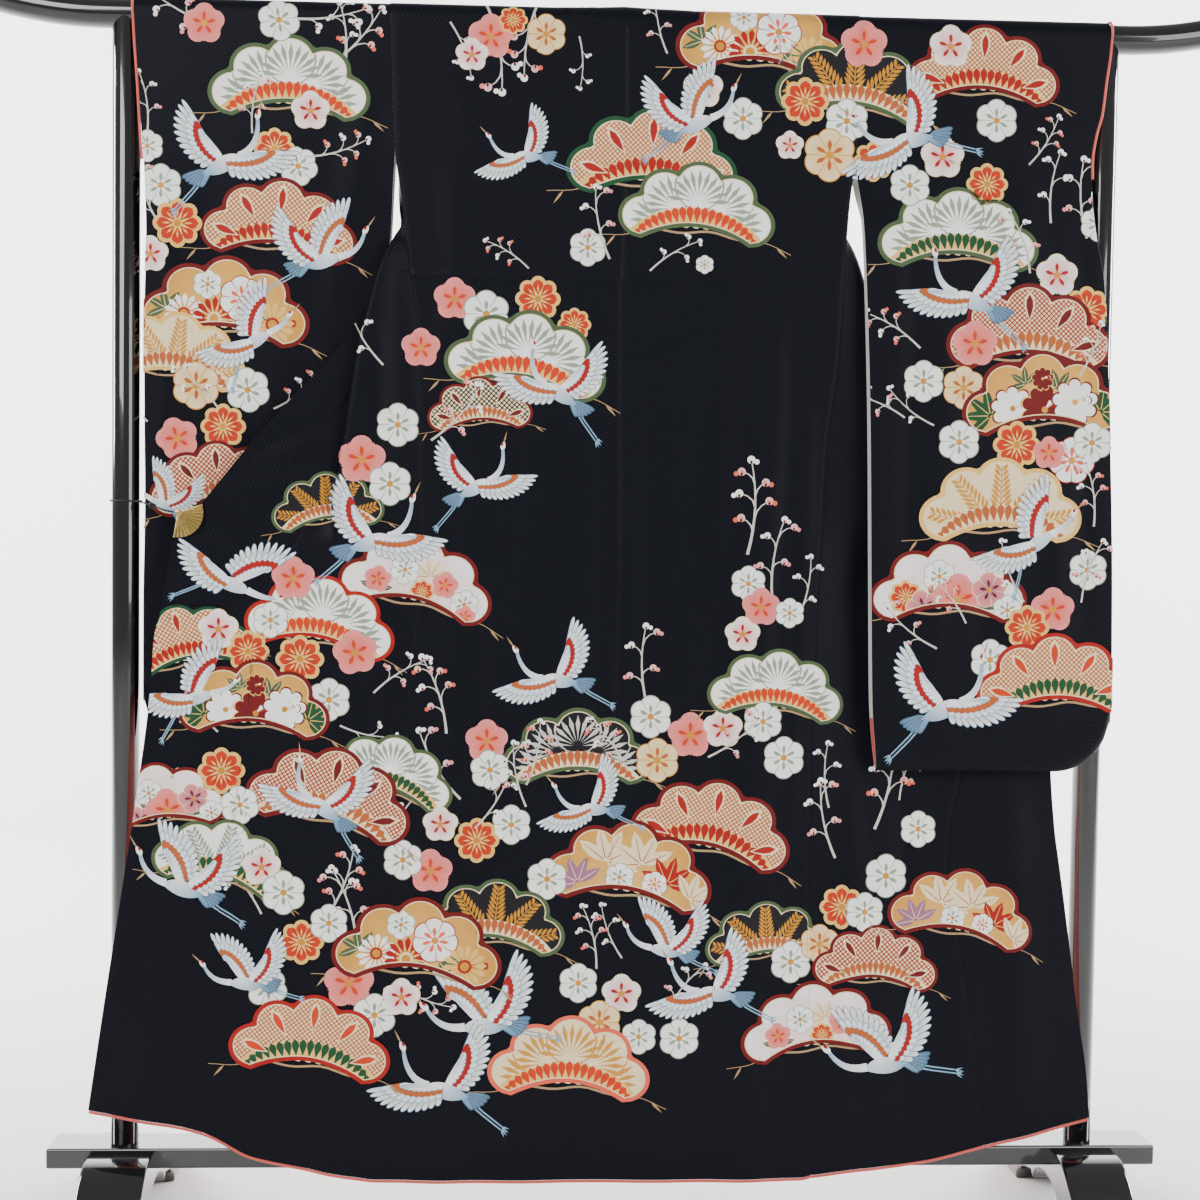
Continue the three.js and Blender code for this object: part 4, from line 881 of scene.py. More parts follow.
class Shader:
    """A node material built with short calls."""

    def __init__(self, name):
        self.material = bpy.data.materials.new(name)
        self.material.use_nodes = True
        self.tree = self.material.node_tree
        self.main = self.tree.nodes["Principled BSDF"]

    def set(self, **values):
        for name, value in values.items():
            self.main.inputs[name.replace("_", " ").title().replace("Ior", "IOR")].default_value = value

    def put(self, socket, value):
        if isinstance(value, bpy.types.NodeSocket):
            self.tree.links.new(value, socket)
        elif isinstance(value, tuple) and len(value) == 3 and socket.type == "RGBA":
            socket.default_value = (*value, 1)
        else:
            socket.default_value = value

    def math(self, operation, a, b=0.0, c=0.0):
        node = self.tree.nodes.new("ShaderNodeMath")
        node.operation = operation
        for socket, value in zip(node.inputs, (a, b, c)):
            self.put(socket, value)
        return node.outputs[0]

    def mix(self, share, a, b):
        node = self.tree.nodes.new("ShaderNodeMix")
        node.data_type = "RGBA"
        self.put(node.inputs[0], share)
        self.put(node.inputs[6], a)
        self.put(node.inputs[7], b)
        return node.outputs[2]

    def split(self, vector):
        node = self.tree.nodes.new("ShaderNodeSeparateXYZ")
        self.tree.links.new(vector, node.inputs[0])
        return node.outputs

    def uv(self, name):
        node = self.tree.nodes.new("ShaderNodeUVMap")
        node.uv_map = name
        return node.outputs[0]

    def attribute(self, name):
        node = self.tree.nodes.new("ShaderNodeAttribute")
        node.attribute_name = name
        return node.outputs

    def noise(self, scale, detail=3.0, vector=None, stretch=(1, 1, 1)):
        place = self.tree.nodes.new("ShaderNodeMapping")
        source = vector or self.tree.nodes.new("ShaderNodeTexCoord").outputs["Object"]
        self.tree.links.new(source, place.inputs[0])
        place.inputs["Scale"].default_value = stretch
        node = self.tree.nodes.new("ShaderNodeTexNoise")
        self.tree.links.new(place.outputs[0], node.inputs["Vector"])
        node.inputs["Scale"].default_value = scale
        node.inputs["Detail"].default_value = detail
        return node.outputs[0]

    def bump(self, height, strength, distance, normal=None):
        node = self.tree.nodes.new("ShaderNodeBump")
        node.inputs["Strength"].default_value = strength
        node.inputs["Distance"].default_value = distance
        self.tree.links.new(height, node.inputs["Height"])
        if normal:
            self.tree.links.new(normal, node.inputs["Normal"])
        return node.outputs[0]

    def key_fret(self, uv, size):
        """Fine lines that change between the two diagonals from cell to cell, 0 to 1."""
        u, v, _ = self.split(uv)
        along = self.math("DIVIDE", self.math("ADD", u, v), size * math.sqrt(2))
        across = self.math("DIVIDE", self.math("SUBTRACT", u, v), size * math.sqrt(2))
        cell = self.math("ADD", self.math("FLOOR", along), self.math("FLOOR", across))
        odd = self.math("PINGPONG", cell, 1.0)
        lines_a = self.math("PINGPONG", self.math("MULTIPLY", along, 8.0), 1.0)
        lines_b = self.math("PINGPONG", self.math("MULTIPLY", across, 8.0), 1.0)
        step_a = self.math("GREATER_THAN", lines_a, 0.5)
        step_b = self.math("GREATER_THAN", lines_b, 0.5)
        first = self.math("MULTIPLY", step_a, odd)
        second = self.math("MULTIPLY", step_b, self.math("SUBTRACT", 1.0, odd))
        return self.math("ADD", first, second)


def silk_material():
    cloth = bpy.context.scene.furisode_cloth
    shader = Shader("silk_ground")
    shader.set(specular_ior_level=0.10, sheen_weight=0.012, sheen_roughness=0.45)
    shader.main.inputs["Sheen Tint"].default_value = (0.55, 0.62, 0.85, 1)
    fret = shader.key_fret(shader.uv("cut"), cloth.key_size)
    base = shader.mix(fret, tuple(cloth.ground), tuple(cloth.ground_sheen))
    shader.put(shader.main.inputs["Base Color"], base)
    grain = shader.noise(1400.0)
    rough = shader.math("MULTIPLY_ADD", fret, -0.12, 0.50)
    rough = shader.math("MULTIPLY_ADD", grain, 0.08, rough)
    shader.put(shader.main.inputs["Roughness"], rough)
    woven = shader.bump(fret, 0.22, 0.00006)
    rippled = shader.bump(shader.noise(16.0, 2.0, stretch=(1, 1, 0.35)), 0.30, 0.0022, woven)
    shader.put(shader.main.inputs["Normal"], shader.bump(grain, 0.25, 0.00005, rippled))
    return shader.material


def plain_silk_material(name, base, roughness=0.62):
    shader = Shader(name)
    shader.set(roughness=roughness, specular_ior_level=0.3, sheen_weight=0.25, sheen_roughness=0.5)
    crepe = shader.noise(620.0, 4.0)
    deep = tuple(channel * 0.86 for channel in base)
    shader.put(shader.main.inputs["Base Color"], shader.mix(crepe, deep, tuple(base)))
    shader.put(shader.main.inputs["Normal"], shader.bump(crepe, 0.5, 0.0002))
    return shader.material


def lacquer_material():
    shader = Shader("black_lacquer")
    shader.set(base_color=(*bpy.context.scene.furisode_stand.lacquer, 1), specular_ior_level=0.5)
    shader.set(coat_weight=1.0, coat_roughness=0.03, coat_ior=1.55)
    haze = shader.noise(9.0, 5.0)
    shader.put(shader.main.inputs["Roughness"], shader.math("MULTIPLY_ADD", haze, 0.10, 0.10))
    shader.put(shader.main.inputs["Normal"], shader.bump(shader.noise(26.0, 2.0), 0.05, 0.0006))
    return shader.material


def gold_material():
    shader = Shader("gilt_metal")
    shader.set(metallic=1.0)
    wear = shader.noise(180.0, 5.0)
    gold = tuple(bpy.context.scene.furisode_stand.gold)
    dull = tuple(channel * 0.7 for channel in gold)
    shader.put(shader.main.inputs["Base Color"], shader.mix(wear, dull, gold))
    shader.put(shader.main.inputs["Roughness"], shader.math("MULTIPLY_ADD", wear, 0.25, 0.22))
    return shader.material


def cord_material():
    shader = Shader("twisted_cord")
    shader.set(specular_ior_level=0.3, sheen_weight=0.2)
    fibre = shader.noise(900.0, 3.0)
    thread = shader.mix(fibre, (0.004, 0.004, 0.005), (0.02, 0.02, 0.024))
    shader.put(shader.main.inputs["Base Color"], thread)
    shader.put(shader.main.inputs["Roughness"], shader.math("MULTIPLY_ADD", fibre, 0.2, 0.6))
    shader.put(shader.main.inputs["Normal"], shader.bump(fibre, 0.6, 0.0002))
    return shader.material


def pattern_material():
    """Dyed and gilt colours: a paint colour, with its gilding in alpha, and threads drawn over it."""
    shader = Shader("dyed_pattern")
    shader.set(specular_ior_level=0.3, sheen_weight=0.08)
    paint = shader.attribute("paint")
    thread = shader.attribute("thread")
    u, v, _ = shader.split(shader.uv("drawn"))
    rising = shader.math("PINGPONG", shader.math("DIVIDE", shader.math("ADD", u, v), 0.0034), 1.0)
    falling = shader.math("PINGPONG", shader.math("DIVIDE", shader.math("SUBTRACT", u, v), 0.0034), 1.0)
    lattice = shader.math("MAXIMUM", shader.math("GREATER_THAN", rising, 0.66),
                          shader.math("GREATER_THAN", falling, 0.66))
    threaded = shader.mix(shader.math("MULTIPLY", lattice, thread[3]), paint[0], thread[0])
    silk_grain = shader.noise(1500.0, 2.0)
    cloudy = shader.noise(60.0, 3.0)
    tone = shader.math("MULTIPLY_ADD", silk_grain, 0.10, shader.math("MULTIPLY_ADD", cloudy, 0.22, 0.84))
    scaled = shader.tree.nodes.new("ShaderNodeVectorMath")
    scaled.operation = "SCALE"
    shader.tree.links.new(threaded, scaled.inputs[0])
    shader.tree.links.new(tone, scaled.inputs["Scale"])
    shader.put(shader.main.inputs["Base Color"], scaled.outputs[0])
    shader.put(shader.main.inputs["Metallic"], shader.math("MULTIPLY", paint[3], 0.75))
    shader.put(shader.main.inputs["Roughness"], shader.math("MULTIPLY_ADD", paint[3], -0.18, 0.60))
    shader.put(shader.main.inputs["Normal"], shader.bump(silk_grain, 0.3, 0.00006))
    return shader.material


def floor_material():
    shader = Shader("studio_floor")
    shader.set(roughness=0.75, specular_ior_level=0.25)
    tone = shader.noise(1.4, 2.0)
    base = tuple(bpy.context.scene.furisode_stage.floor)
    shader.put(shader.main.inputs["Base Color"], shader.mix(tone, base, tuple(c * 0.985 for c in base)))
    return shader.material


def material(name):
    """The material of that name, made when it is first asked for."""
    cloth = bpy.context.scene.furisode_cloth
    makers = {
        "silk_ground": silk_material,
        "upper_lining": lambda: plain_silk_material("upper_lining", tuple(cloth.lining)),
        "hem_lining": lambda: plain_silk_material("hem_lining", tuple(cloth.hem_lining)),
        "black_lacquer": lacquer_material,
        "gilt_metal": gold_material,
        "twisted_cord": cord_material,
        "dyed_pattern": pattern_material,
        "studio_floor": floor_material,
    }
    return bpy.data.materials.get(name) or makers[name]()


# ---- Pieces of cloth ----------------------------------------------------------------------

SIDES = ("left", "right")


def body_materials():
    return [material(n) for n in ("silk_ground", "upper_lining", "hem_lining", "silk_ground")]


def add_panel(name, grid, side, seams, kind, *nodes):
    piece = sheet_shell(name, grid, side, body_materials(), seams)
    stands_for(piece, "silk", *nodes)
    return piece


def make_body(side):
    """The back panel, front panel, overlap panel and collar of one side."""
    column = left_column if side == "left" else right_column
    back = back_grid(side)
    front, okumi, collar = front_grids(column)
    neck = neck_grid(-1 if side == "left" else 1)
    add_panel("panel_back_" + side, back, side, [0, -1], "back", "back_" + side, "back_shoulder_" + side)
    parts = ["front_" + side, "front_waist_" + side, "front_chest_" + side, "front_shoulder_" + side]
    add_panel("panel_front_" + side, front, side, [0, -1], "front", *parts)
    add_panel("panel_okumi_" + side, okumi, side, [0], "okumi", "okumi_" + side)
    band = np.concatenate([neck, collar])
    add_panel("band_collar_" + side, band, side, [0], "collar", "collar_" + side)
    for kind, grid in (("back", back), ("front", front), ("okumi", okumi)):
        add_hem_roll(kind, side, grid[-1])
    add_stitches("stitches_front_edge_" + side, front_edge_line(okumi, collar))


def make_sleeve(side):
    points, quads, uv, rings, half = sleeve_surface(side)
    piece = shell("sleeve_bag_" + side, points, quads, uv, body_materials())
    inner = rings[0][:, 0].min() if side == "right" else rings[0][:, 0].max()
    for polygon in piece.data.polygons:
        if polygon.material_index == 3:
            at_cuff = abs(polygon.center.x / MM - inner) > AT_CUFF
            polygon.material_index = 2 if at_cuff else 1
    stands_for(piece, "silk", "sleeve_" + side)
    add_cuff_roll(side, rings, half)


# ---- Edges ------------------------------------------------------------------------------

HEM_ROLL = 4.0
CUFF_ROLL = 3.6
CUFF_RADIUS = RAIL_RADIUS + 3.2
AT_CUFF = 150  # from the sleeve's inner edge, beyond which an edge is lined as the cuff is
STITCH_PITCH = 9.0


def add_hem_roll(kind, side, line):
    """The padded roll of coral lining below a panel."""
    line = line + [0, 0, -0.5 - HEM_ROLL / 2]
    line[0] += (line[1] - line[0]) * 0.1
    line[-1] += (line[-2] - line[-1]) * 0.1
    piece = tube("roll_hem_" + kind + "_" + side, line, HEM_ROLL / 2, 12)
    piece.data.materials.append(material("hem_lining"))
    stands_for(piece, "lining", "hem_roll_" + kind + "_" + side)


def add_cuff_roll(side, rings, half):
    sign = -1 if side == "left" else 1
    outermost = rings[-1]
    size = rings.shape[1]
    line = np.array([outermost[k % size] for k in range(-CUFF_ROW + 1, CUFF_ROW)])
    line[:, 0] += sign * (0.4 + CUFF_ROLL / 2)
    off = np.hypot(line[:, 1], line[:, 2] - RAIL_AXIS)
    over = line[:, 2] > RAIL_AXIS - 1
    line[:, 1] = np.where(over, line[:, 1] * CUFF_RADIUS / off, line[:, 1])
    line[:, 2] = np.where(over, RAIL_AXIS + (line[:, 2] - RAIL_AXIS) * CUFF_RADIUS / off, line[:, 2])
    piece = tube("roll_cuff_" + side, line, CUFF_ROLL / 2, 12)
    piece.data.materials.append(material("hem_lining"))
    stands_for(piece, "lining", "cuff_roll_" + side)


def front_edge_line(okumi, collar):
    """A line just inside the free edge of the overlap, from the collar's end to the hem."""
    below = okumi[END_ROW - TIP_ROW + 2 :, -2:]
    inset = below[:, 1] + (below[:, 0] - below[:, 1]) * 0.6
    return inset


def add_stitches(name, line):
    """Small stitches of dark thread along a line on the outer face."""
    lengths = np.linalg.norm(np.diff(line, axis=0), axis=1)
    run = np.concatenate([[0], np.cumsum(lengths)])
    starts = np.arange(4.0, run[-1] - 4.0, STITCH_PITCH)
    vertices, faces = [], []
    for start in starts:
        a = np.array([np.interp(start, run, line[:, k]) for k in range(3)])
        b = np.array([np.interp(start + 2.2, run, line[:, k]) for k in range(3)])
        out = np.array([0, -1.0, 0])
        side = np.cross(b - a, out)
        side /= np.linalg.norm(side)
        face = out * (SHELL / 2 + 0.05)
        base = len(vertices)
        for p, width, rise in ((a, 0.15, 0), ((a + b) / 2, 0.35, 0.35), (b, 0.15, 0)):
            centre = p + face + out * rise
            vertices.extend([(centre - side * width) * MM, (centre + side * width) * MM])
        faces.extend([(base, base + 1, base + 3, base + 2), (base + 2, base + 3, base + 5, base + 4)])
    piece = new_object(name, vertices, faces)
    piece.data.materials.append(material("twisted_cord"))
    stands_for(piece, "cord")


# ---- Stand and clip ---------------------------------------------------------------------

UPRIGHT_X = 672
UPRIGHT_RADIUS = 19
BOARD = {"length": 1546, "depth": 71, "thickness": 28, "top": 112}
FOOT = {"width": 88, "reach": 215, "pad": 62, "shoulder": 104, "crown": 60, "cusp": 9}


def make_stand():
    settings = bpy.context.scene.furisode_stand
    sides = bpy.context.scene.furisode_stage.circle_sides
    x = np.linspace(-RAIL_HALF + 6, RAIL_HALF - 6, 91)
    beyond = np.clip(abs(x) - RAIL_STRAIGHT, 0, None) / (RAIL_HALF - RAIL_STRAIGHT)
    path = np.stack([x, 0 * x, RAIL_AXIS + RAIL_END_RISE * beyond**2], -1)
    pieces = [(tube("lacquer_rail", path, RAIL_RADIUS, sides), ["stand_rail"])]
    half = BOARD["thickness"] / 2
    depth = BOARD["depth"] / 2
    middle = BOARD["top"] - half
    low, high = middle - half, middle + half
    outline = [(-depth, low), (depth, low), (depth, high), (-depth, high)]
    board = prism("lacquer_board", outline, BOARD["length"], settings.bevel)
    pieces.append((board, ["stand_board"]))
    reach, pad, shoulder = FOOT["reach"], FOOT["pad"], FOOT["shoulder"]
    for side, sign in (("left", -1), ("right", 1)):
        heights = np.linspace(BOARD["top"], RAIL_AXIS - 6, 3)
        post = np.stack([0 * heights + sign * UPRIGHT_X, 0 * heights, heights], -1)
        upright = tube("lacquer_upright_" + side, post, UPRIGHT_RADIUS, sides)
        sharpen(upright, 40)
        pieces.append((upright, ["stand_upright_" + side]))
        half_foot = curve_points(
            (0, FOOT["crown"]),
            [(50, FOOT["crown"]), (66, 40 - FOOT["cusp"])],
            [(74, 40)],
            [(100, 34), (reach - pad - 4, 30), (reach - pad, 0)],
            [(reach, 0)],
            [(reach, 10)],
            [(reach - 6, 46), (reach - 72, 62)],
            [(110, 74), (96, shoulder), (depth + 18, shoulder)],
            [(0, shoulder)],
        )
        mirrored = [(-y, z) for y, z in half_foot[-2:0:-1]]
        foot = prism("lacquer_foot_" + side, half_foot + mirrored, FOOT["width"], settings.bevel)
        foot.data.transform(Matrix.Translation((sign * UPRIGHT_X * MM, 0, 0)))
        pieces.append((foot, ["stand_foot_" + side]))
    for piece, nodes in pieces:
        piece.data.materials.append(material("black_lacquer"))
        stands_for(piece, "lacquer", *nodes)


CLIP = {"pivotX": -592, "pivotZ": 987, "depth": -53.7, "gripX": -581, "gripZ": 979, "grip": 18}
FAN = {"radius": 33, "hub": 5, "from": -99, "to": 18, "pleats": 12, "pleat": 1.2}
CORD = {"diameter": 3.0, "knot": 8, "loopZ": 1002}


def make_fan():
    """A pleated gilt fan with two guard sticks and a pivot."""
    lines = 2 * FAN["pleats"]
    radii = [3, 12, 13, 32, 33]
    vertices, faces = [], []
    pivot = np.array([CLIP["pivotX"], CLIP["depth"], CLIP["pivotZ"]], float)
    for layer in (-0.3, 0.3):
        for i in range(lines + 1):
            angle = math.radians(FAN["from"] + (FAN["to"] - FAN["from"]) * i / lines)
            for radius in radii:
                height = (-1 if i % 2 else 1) * FAN["pleat"] * radius / FAN["radius"] + layer
                vertices.append((pivot + [radius * math.cos(angle), height, radius * math.sin(angle)]) * MM)
    ring = len(radii)
    count = ring * (lines + 1)
    for i in range(lines):
        for k in range(ring - 1):
            a = i * ring + k
            faces.append((a, a + 1, a + ring + 1, a + ring))
            faces.append((count + a, count + a + ring, count + a + ring + 1, count + a + 1))
        top = i * ring + ring - 1
        faces.append((top, count + top, count + top + ring, top + ring))
    leaf = new_object("gilt_fan", vertices, faces, smooth=False)
    leaf.data.materials.append(material("gilt_metal"))
    stands_for(leaf, "brass", "clip_fan")
    for name, degrees in (("guard_upper", FAN["to"] + 1.5), ("guard_lower", FAN["from"] - 1.5)):
        angle = math.radians(degrees)
        way = np.array([math.cos(angle), 0, math.sin(angle)])
        reaches = [pivot + way * r for r in (2, 12, 24, 33.5)]
        stick = tube("gilt_fan_" + name, reaches, [1.6, 1.5, 1.3, 1.5], 10)
        stick.data.materials.append(material("gilt_metal"))
        stands_for(stick, "brass")
    hub = tube("gilt_fan_pivot", [pivot + [0, y, 0] for y in (-1.9, 0, 1.5)], 4.6, 24)
    hub.data.materials.append(material("gilt_metal"))
    stands_for(hub, "brass")


def make_jaw():
    """The spring jaw that grips the collar's edge behind the fan."""
    half = 3.5
    inner = 2.0
    outline = [
        (-12, -half), (3, -half), (3, half), (-12, half),
        (-12, inner), (1.5, inner), (1.5, -inner), (-12, -inner),
    ]
    depth = float(front_track["edgeY"](CLIP["gripZ"])) + 0.6
    count = len(outline)
    outwards = np.array([-0.805, 0, 0.593])
    towards = np.array([0, -1.0, 0])
    along = np.cross(outwards, towards)
    origin = np.array([CLIP["gripX"], depth, CLIP["gripZ"]])
    vertices = [
        (origin + outwards * a + towards * b + along * end * CLIP["grip"] / 2) * MM
        for end in (-1, 1) for a, b in outline
    ]
    faces = [list(range(count))[::-1], list(range(count, 2 * count))]
    faces.extend([i, (i + 1) % count, count + (i + 1) % count, count + i] for i in range(count))
    jaw = new_object("spring_jaw", vertices, faces, smooth=False)
    rounding = jaw.modifiers.new("rounding", "BEVEL")
    rounding.width = 0.0004
    rounding.segments = 2
    jaw.data.materials.append(material("gilt_metal"))
    stands_for(jaw, "brass", "clip_jaw")


def make_cord():
    """A two-ply cord looped round the upright, with a knot, running to the fan's pivot."""
    round_upright = UPRIGHT_RADIUS + 0.3 + CORD["diameter"] / 2
    turn = np.linspace(-0.90, 2 * math.pi - 0.92, 60)
    loop = np.stack([
        -UPRIGHT_X + round_upright * np.cos(turn), round_upright * np.sin(turn), CORD["loopZ"] + 0 * turn
    ], -1)
    strand = np.array([
        loop[0], (-646, -24, 1000.5), (-630, -38, 996), (-612, -49, 990.5),
        (CLIP["pivotX"] - FAN["hub"] - 2.2, CLIP["depth"], CLIP["pivotZ"] + 1),
    ])
    names = []
    for name, line, steps in (("loop", loop, 1), ("strand", strand, 10)):
        parts = [np.linspace(a, b, steps, endpoint=False) for a, b in zip(line, line[1:])]
        fine = np.concatenate([*parts, line[-1:]])
        side, other = frames_along(fine)
        run = np.concatenate([[0], np.cumsum(np.linalg.norm(np.diff(fine, axis=0), axis=1))])
        for ply in (0, 1):
            angle = run / 1.6 + ply * math.pi
            offset = 0.72 * (np.cos(angle)[:, None] * side + np.sin(angle)[:, None] * other)
            piece = tube("cord_%s_ply_%d" % (name, ply + 1), fine + offset, 0.78, 8)
            names.append(piece)
    knot_centre = np.array([-630, -38, 996.0])
    t = np.linspace(0, 2 * math.pi, 60)
    wound = np.stack([
        3.1 * np.cos(2 * t) + 1.1 * np.cos(t), 1.6 * np.sin(3 * t), 2.6 * np.sin(2 * t) - 1.0 * np.sin(t)
    ], -1)
    names.append(tube("cord_knot", knot_centre + wound, 1.3, 10))
    for piece in names:
        piece.data.materials.append(material("twisted_cord"))
        stands_for(piece, "cord")
    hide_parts("clip_cord")


# ---- Drawing the pattern ------------------------------------------------------------------

def tone(red, green, blue):
    """A colour given from 0 to 255, as a linear one."""
    return tuple(((c / 255 + 0.055) / 1.055) ** 2.4 for c in (red, green, blue))


INK = {
    "white": tone(254, 253, 249),
    "cream": tone(244, 222, 176),
    "straw": tone(238, 190, 104),
    "gold": tone(212, 146, 50),
    "ochre": tone(184, 92, 40),
    "orange": tone(208, 54, 8),
    "vermilion": tone(164, 20, 8),
    "red": tone(108, 8, 8),
    "salmon": tone(232, 98, 70),
    "pink": tone(238, 138, 134),
    "blush": tone(250, 214, 208),
    "lilac": tone(156, 104, 132),
    "sage": tone(146, 158, 134),
    "moss": tone(72, 92, 58),
    "green": tone(18, 72, 40),
    "mist": tone(132, 170, 196),
    "slate": tone(66, 96, 122),
    "bark": tone(176, 142, 100),
    "birch": tone(206, 200, 190),
    "black": tone(10, 10, 16),
}


class Drawing:
    """Flat shapes in millimetres, each painted over those before it; a shape with no paint is a hole."""

    def __init__(self):
        self.outlines = []
        self.inks = []

    def draw(self, outline, paint, rim=None, focus=(0, 0), reach=1.0, gold=0.0, thread=None, within=-1):
        self.outlines.append(np.asarray(outline, float))
        self.inks.append((paint, rim or paint, focus, reach, gold, thread, within))
        return len(self.outlines) - 1

    def paste(self, other, x, y, scale=1.0, turn=0.0, within=-1):
        """Draws another drawing in this one."""
        first = len(self.outlines)
        spin = rotation(turn) * scale
        for outline, (paint, rim, focus, reach, gold, thread, inside) in zip(other.outlines, other.inks):
            self.draw(
                outline @ spin.T + (x, y), paint, rim, tuple(spin @ np.array(focus, float) + (x, y)),
                reach * scale, gold, thread, within if inside < 0 else first + inside,
            )


def rotation(degrees):
    c, s = math.cos(math.radians(degrees)), math.sin(math.radians(degrees))
    return np.array([[c, -s], [s, c]])


def polar(degrees, radius):
    return np.array([math.cos(math.radians(degrees)), math.sin(math.radians(degrees))]) * radius


def disc(x, y, radius, count=14):
    turn = np.linspace(0, 2 * np.pi, count, endpoint=False)
    return np.stack([x + radius * np.cos(turn), y + radius * np.sin(turn)], -1)


def leaf(x, y, degrees, length, width, fullest=0.5, count=5):
    """A pointed leaf or petal from a point in a direction; fullest is where it is widest."""
    t = np.linspace(0, 1, count + 1)
    power = math.log(0.5) / math.log(fullest)
    half = width / 2 * np.sin(np.pi * t**power) ** 0.8
    upper = np.stack([t * length, half], -1)
    lower = np.stack([t * length, -half], -1)[-2:0:-1]
    return np.concatenate([upper, lower]) @ rotation(degrees).T + (x, y)


def blade(x, y, degrees, length, width, bend=0.0):
    """A feather: parallel sides, a rounded tip, and a slight bend."""
    t = np.array([0, 0.35, 0.7, 0.88, 0.97, 1, 0.97, 0.88, 0.7, 0.35])
    half = width * np.array([0.25, 0.5, 0.5, 0.42, 0.24, 0, -0.24, -0.42, -0.5, -0.5])
    bowed = half + bend * length * t * t
    return np.stack([t * length, bowed], -1) @ rotation(degrees).T + (x, y)


def ribbon(points, widths):
    """A stroke of changing width along points."""
    points = np.asarray(points, float)
    way = np.gradient(points, axis=0)
    way /= np.linalg.norm(way, axis=1, keepdims=True)
    side = np.stack([-way[:, 1], way[:, 0]], -1) * np.asarray(widths, float)[:, None] / 2
    return np.concatenate([points + side, (points - side)[::-1]])


def bow(start, middle, end, count=8):
    """Points along a bow through three points' control triangle."""
    t = np.linspace(0, 1, count)[:, None]
    a, b, c = (np.asarray(p, float) for p in (start, middle, end))
    return a * (1 - t) ** 2 + 2 * b * t * (1 - t) + c * t * t


def lobed(angles, distance, radius, first, last, count):
    """The outer edge of equal discs set round a centre, as directions and distances."""
    theta = np.linspace(first, last, count)
    reach = np.zeros(count)
    for angle in angles:
        off = np.radians(theta - angle)
        room = radius**2 - (distance * np.sin(off)) ** 2
        reach = np.maximum(reach, np.where(
            (room > 0) & (np.cos(off) > 0), distance * np.cos(off) + np.sqrt(np.maximum(room, 0)), 0
        ))
    return np.stack([np.cos(np.radians(theta)) * reach, np.sin(np.radians(theta)) * reach], -1)


def rosette(petals, radius, cut=0.52):
    """The outline of a round-petalled flower."""
    angles = [90 + 360 * i / petals for i in range(petals + 1)] + [90 - 360 / petals]
    width = 1 - cut
    turn = lobed([a % 360 for a in angles] + [a % 360 - 360 for a in angles], cut * radius, width * radius,
                 0, 360, petals * 8 + 1)
    return turn[:-1]


# ---- Flowers ----------------------------------------------------------------------------

BLOSSOM = 27.0


def round_blossom(petals, paint, rim, line, heart, stamen):
    """An open plum blossom with lines between its petals and leaf-shaped stamens."""
    made = Drawing()
    made.draw(rosette(petals, BLOSSOM), INK[line], gold=0.2)
    made.draw(rosette(petals, BLOSSOM * 0.95), INK[paint], INK[rim], reach=BLOSSOM)
    for i in range(petals):
        valley = 90 + 360 * (i + 0.5) / petals
        inner, outer = polar(valley, BLOSSOM * 0.3), polar(valley, BLOSSOM * 0.86)
        made.draw(ribbon([inner, outer], [0.5, 1.2]), INK[line])
        petal = 90 + 360 * i / petals
        start = polar(petal, BLOSSOM * 0.12)
        made.draw(leaf(*start, petal, BLOSSOM * 0.46, BLOSSOM * 0.17, 0.6, 4), INK[stamen])
    made.draw(disc(0, 0, BLOSSOM * 0.15, 10), INK[heart], gold=0.5)
    return made


def wheel_blossom(paint, rim):
    """A flower of eight drop-shaped petals inside a pale scalloped edge."""
    made = Drawing()
    made.draw(rosette(8, BLOSSOM, 0.66), INK[rim], gold=0.25)
    for i in range(8):
        angle = 90 + 45 * i
        start = polar(angle, BLOSSOM * 0.16)
        made.draw(leaf(*start, angle, BLOSSOM * 0.70, BLOSSOM * 0.47, 0.66, 6), INK[paint],
                  INK["vermilion"], focus=polar(angle, BLOSSOM * 0.9), reach=BLOSSOM)
        mark = polar(angle, BLOSSOM * 0.26)
        made.draw(leaf(*mark, angle, BLOSSOM * 0.36, BLOSSOM * 0.09, 0.5, 2), INK[rim])
    made.draw(disc(0, 0, BLOSSOM * 0.15, 10), INK["gold"], gold=0.8)
    return made


def aster(petals, paint, under, heart):
    """A chrysanthemum of two rows of narrow petals, with a radius of one blossom."""
    made = Drawing()
    made.draw(rosette(petals, BLOSSOM, 0.82), INK[under])
    for i in range(petals):
        angle = 360 * (i + 0.5) / petals
        start = polar(angle, BLOSSOM * 0.22)
        made.draw(leaf(*start, angle, BLOSSOM * 0.72, BLOSSOM * 3.6 / petals, 0.7, 4), INK[paint])
    made.draw(disc(0, 0, BLOSSOM * 0.30, 10), INK[under])
    made.draw(disc(0, 0, BLOSSOM * 0.20, 8), INK[heart], gold=0.6)
    return made


def peony(outer, inner, heart, line):
    """A full flower of three rings of crumpled petals, each in an ink of its own."""
    made = Drawing()
    for share, petals, paint, turn in ((1.0, 9, outer, 0), (0.72, 7, inner, 20), (0.44, 6, heart, 50)):
        spin = rotation(turn).T
        made.draw(rosette(petals, BLOSSOM * share, 0.74) @ spin, INK[line])
        made.draw(rosette(petals, BLOSSOM * share * 0.92, 0.74) @ spin, INK[paint])
    made.draw(disc(0, 0, BLOSSOM * 0.13, 8), INK["gold"], gold=0.8)
    return made


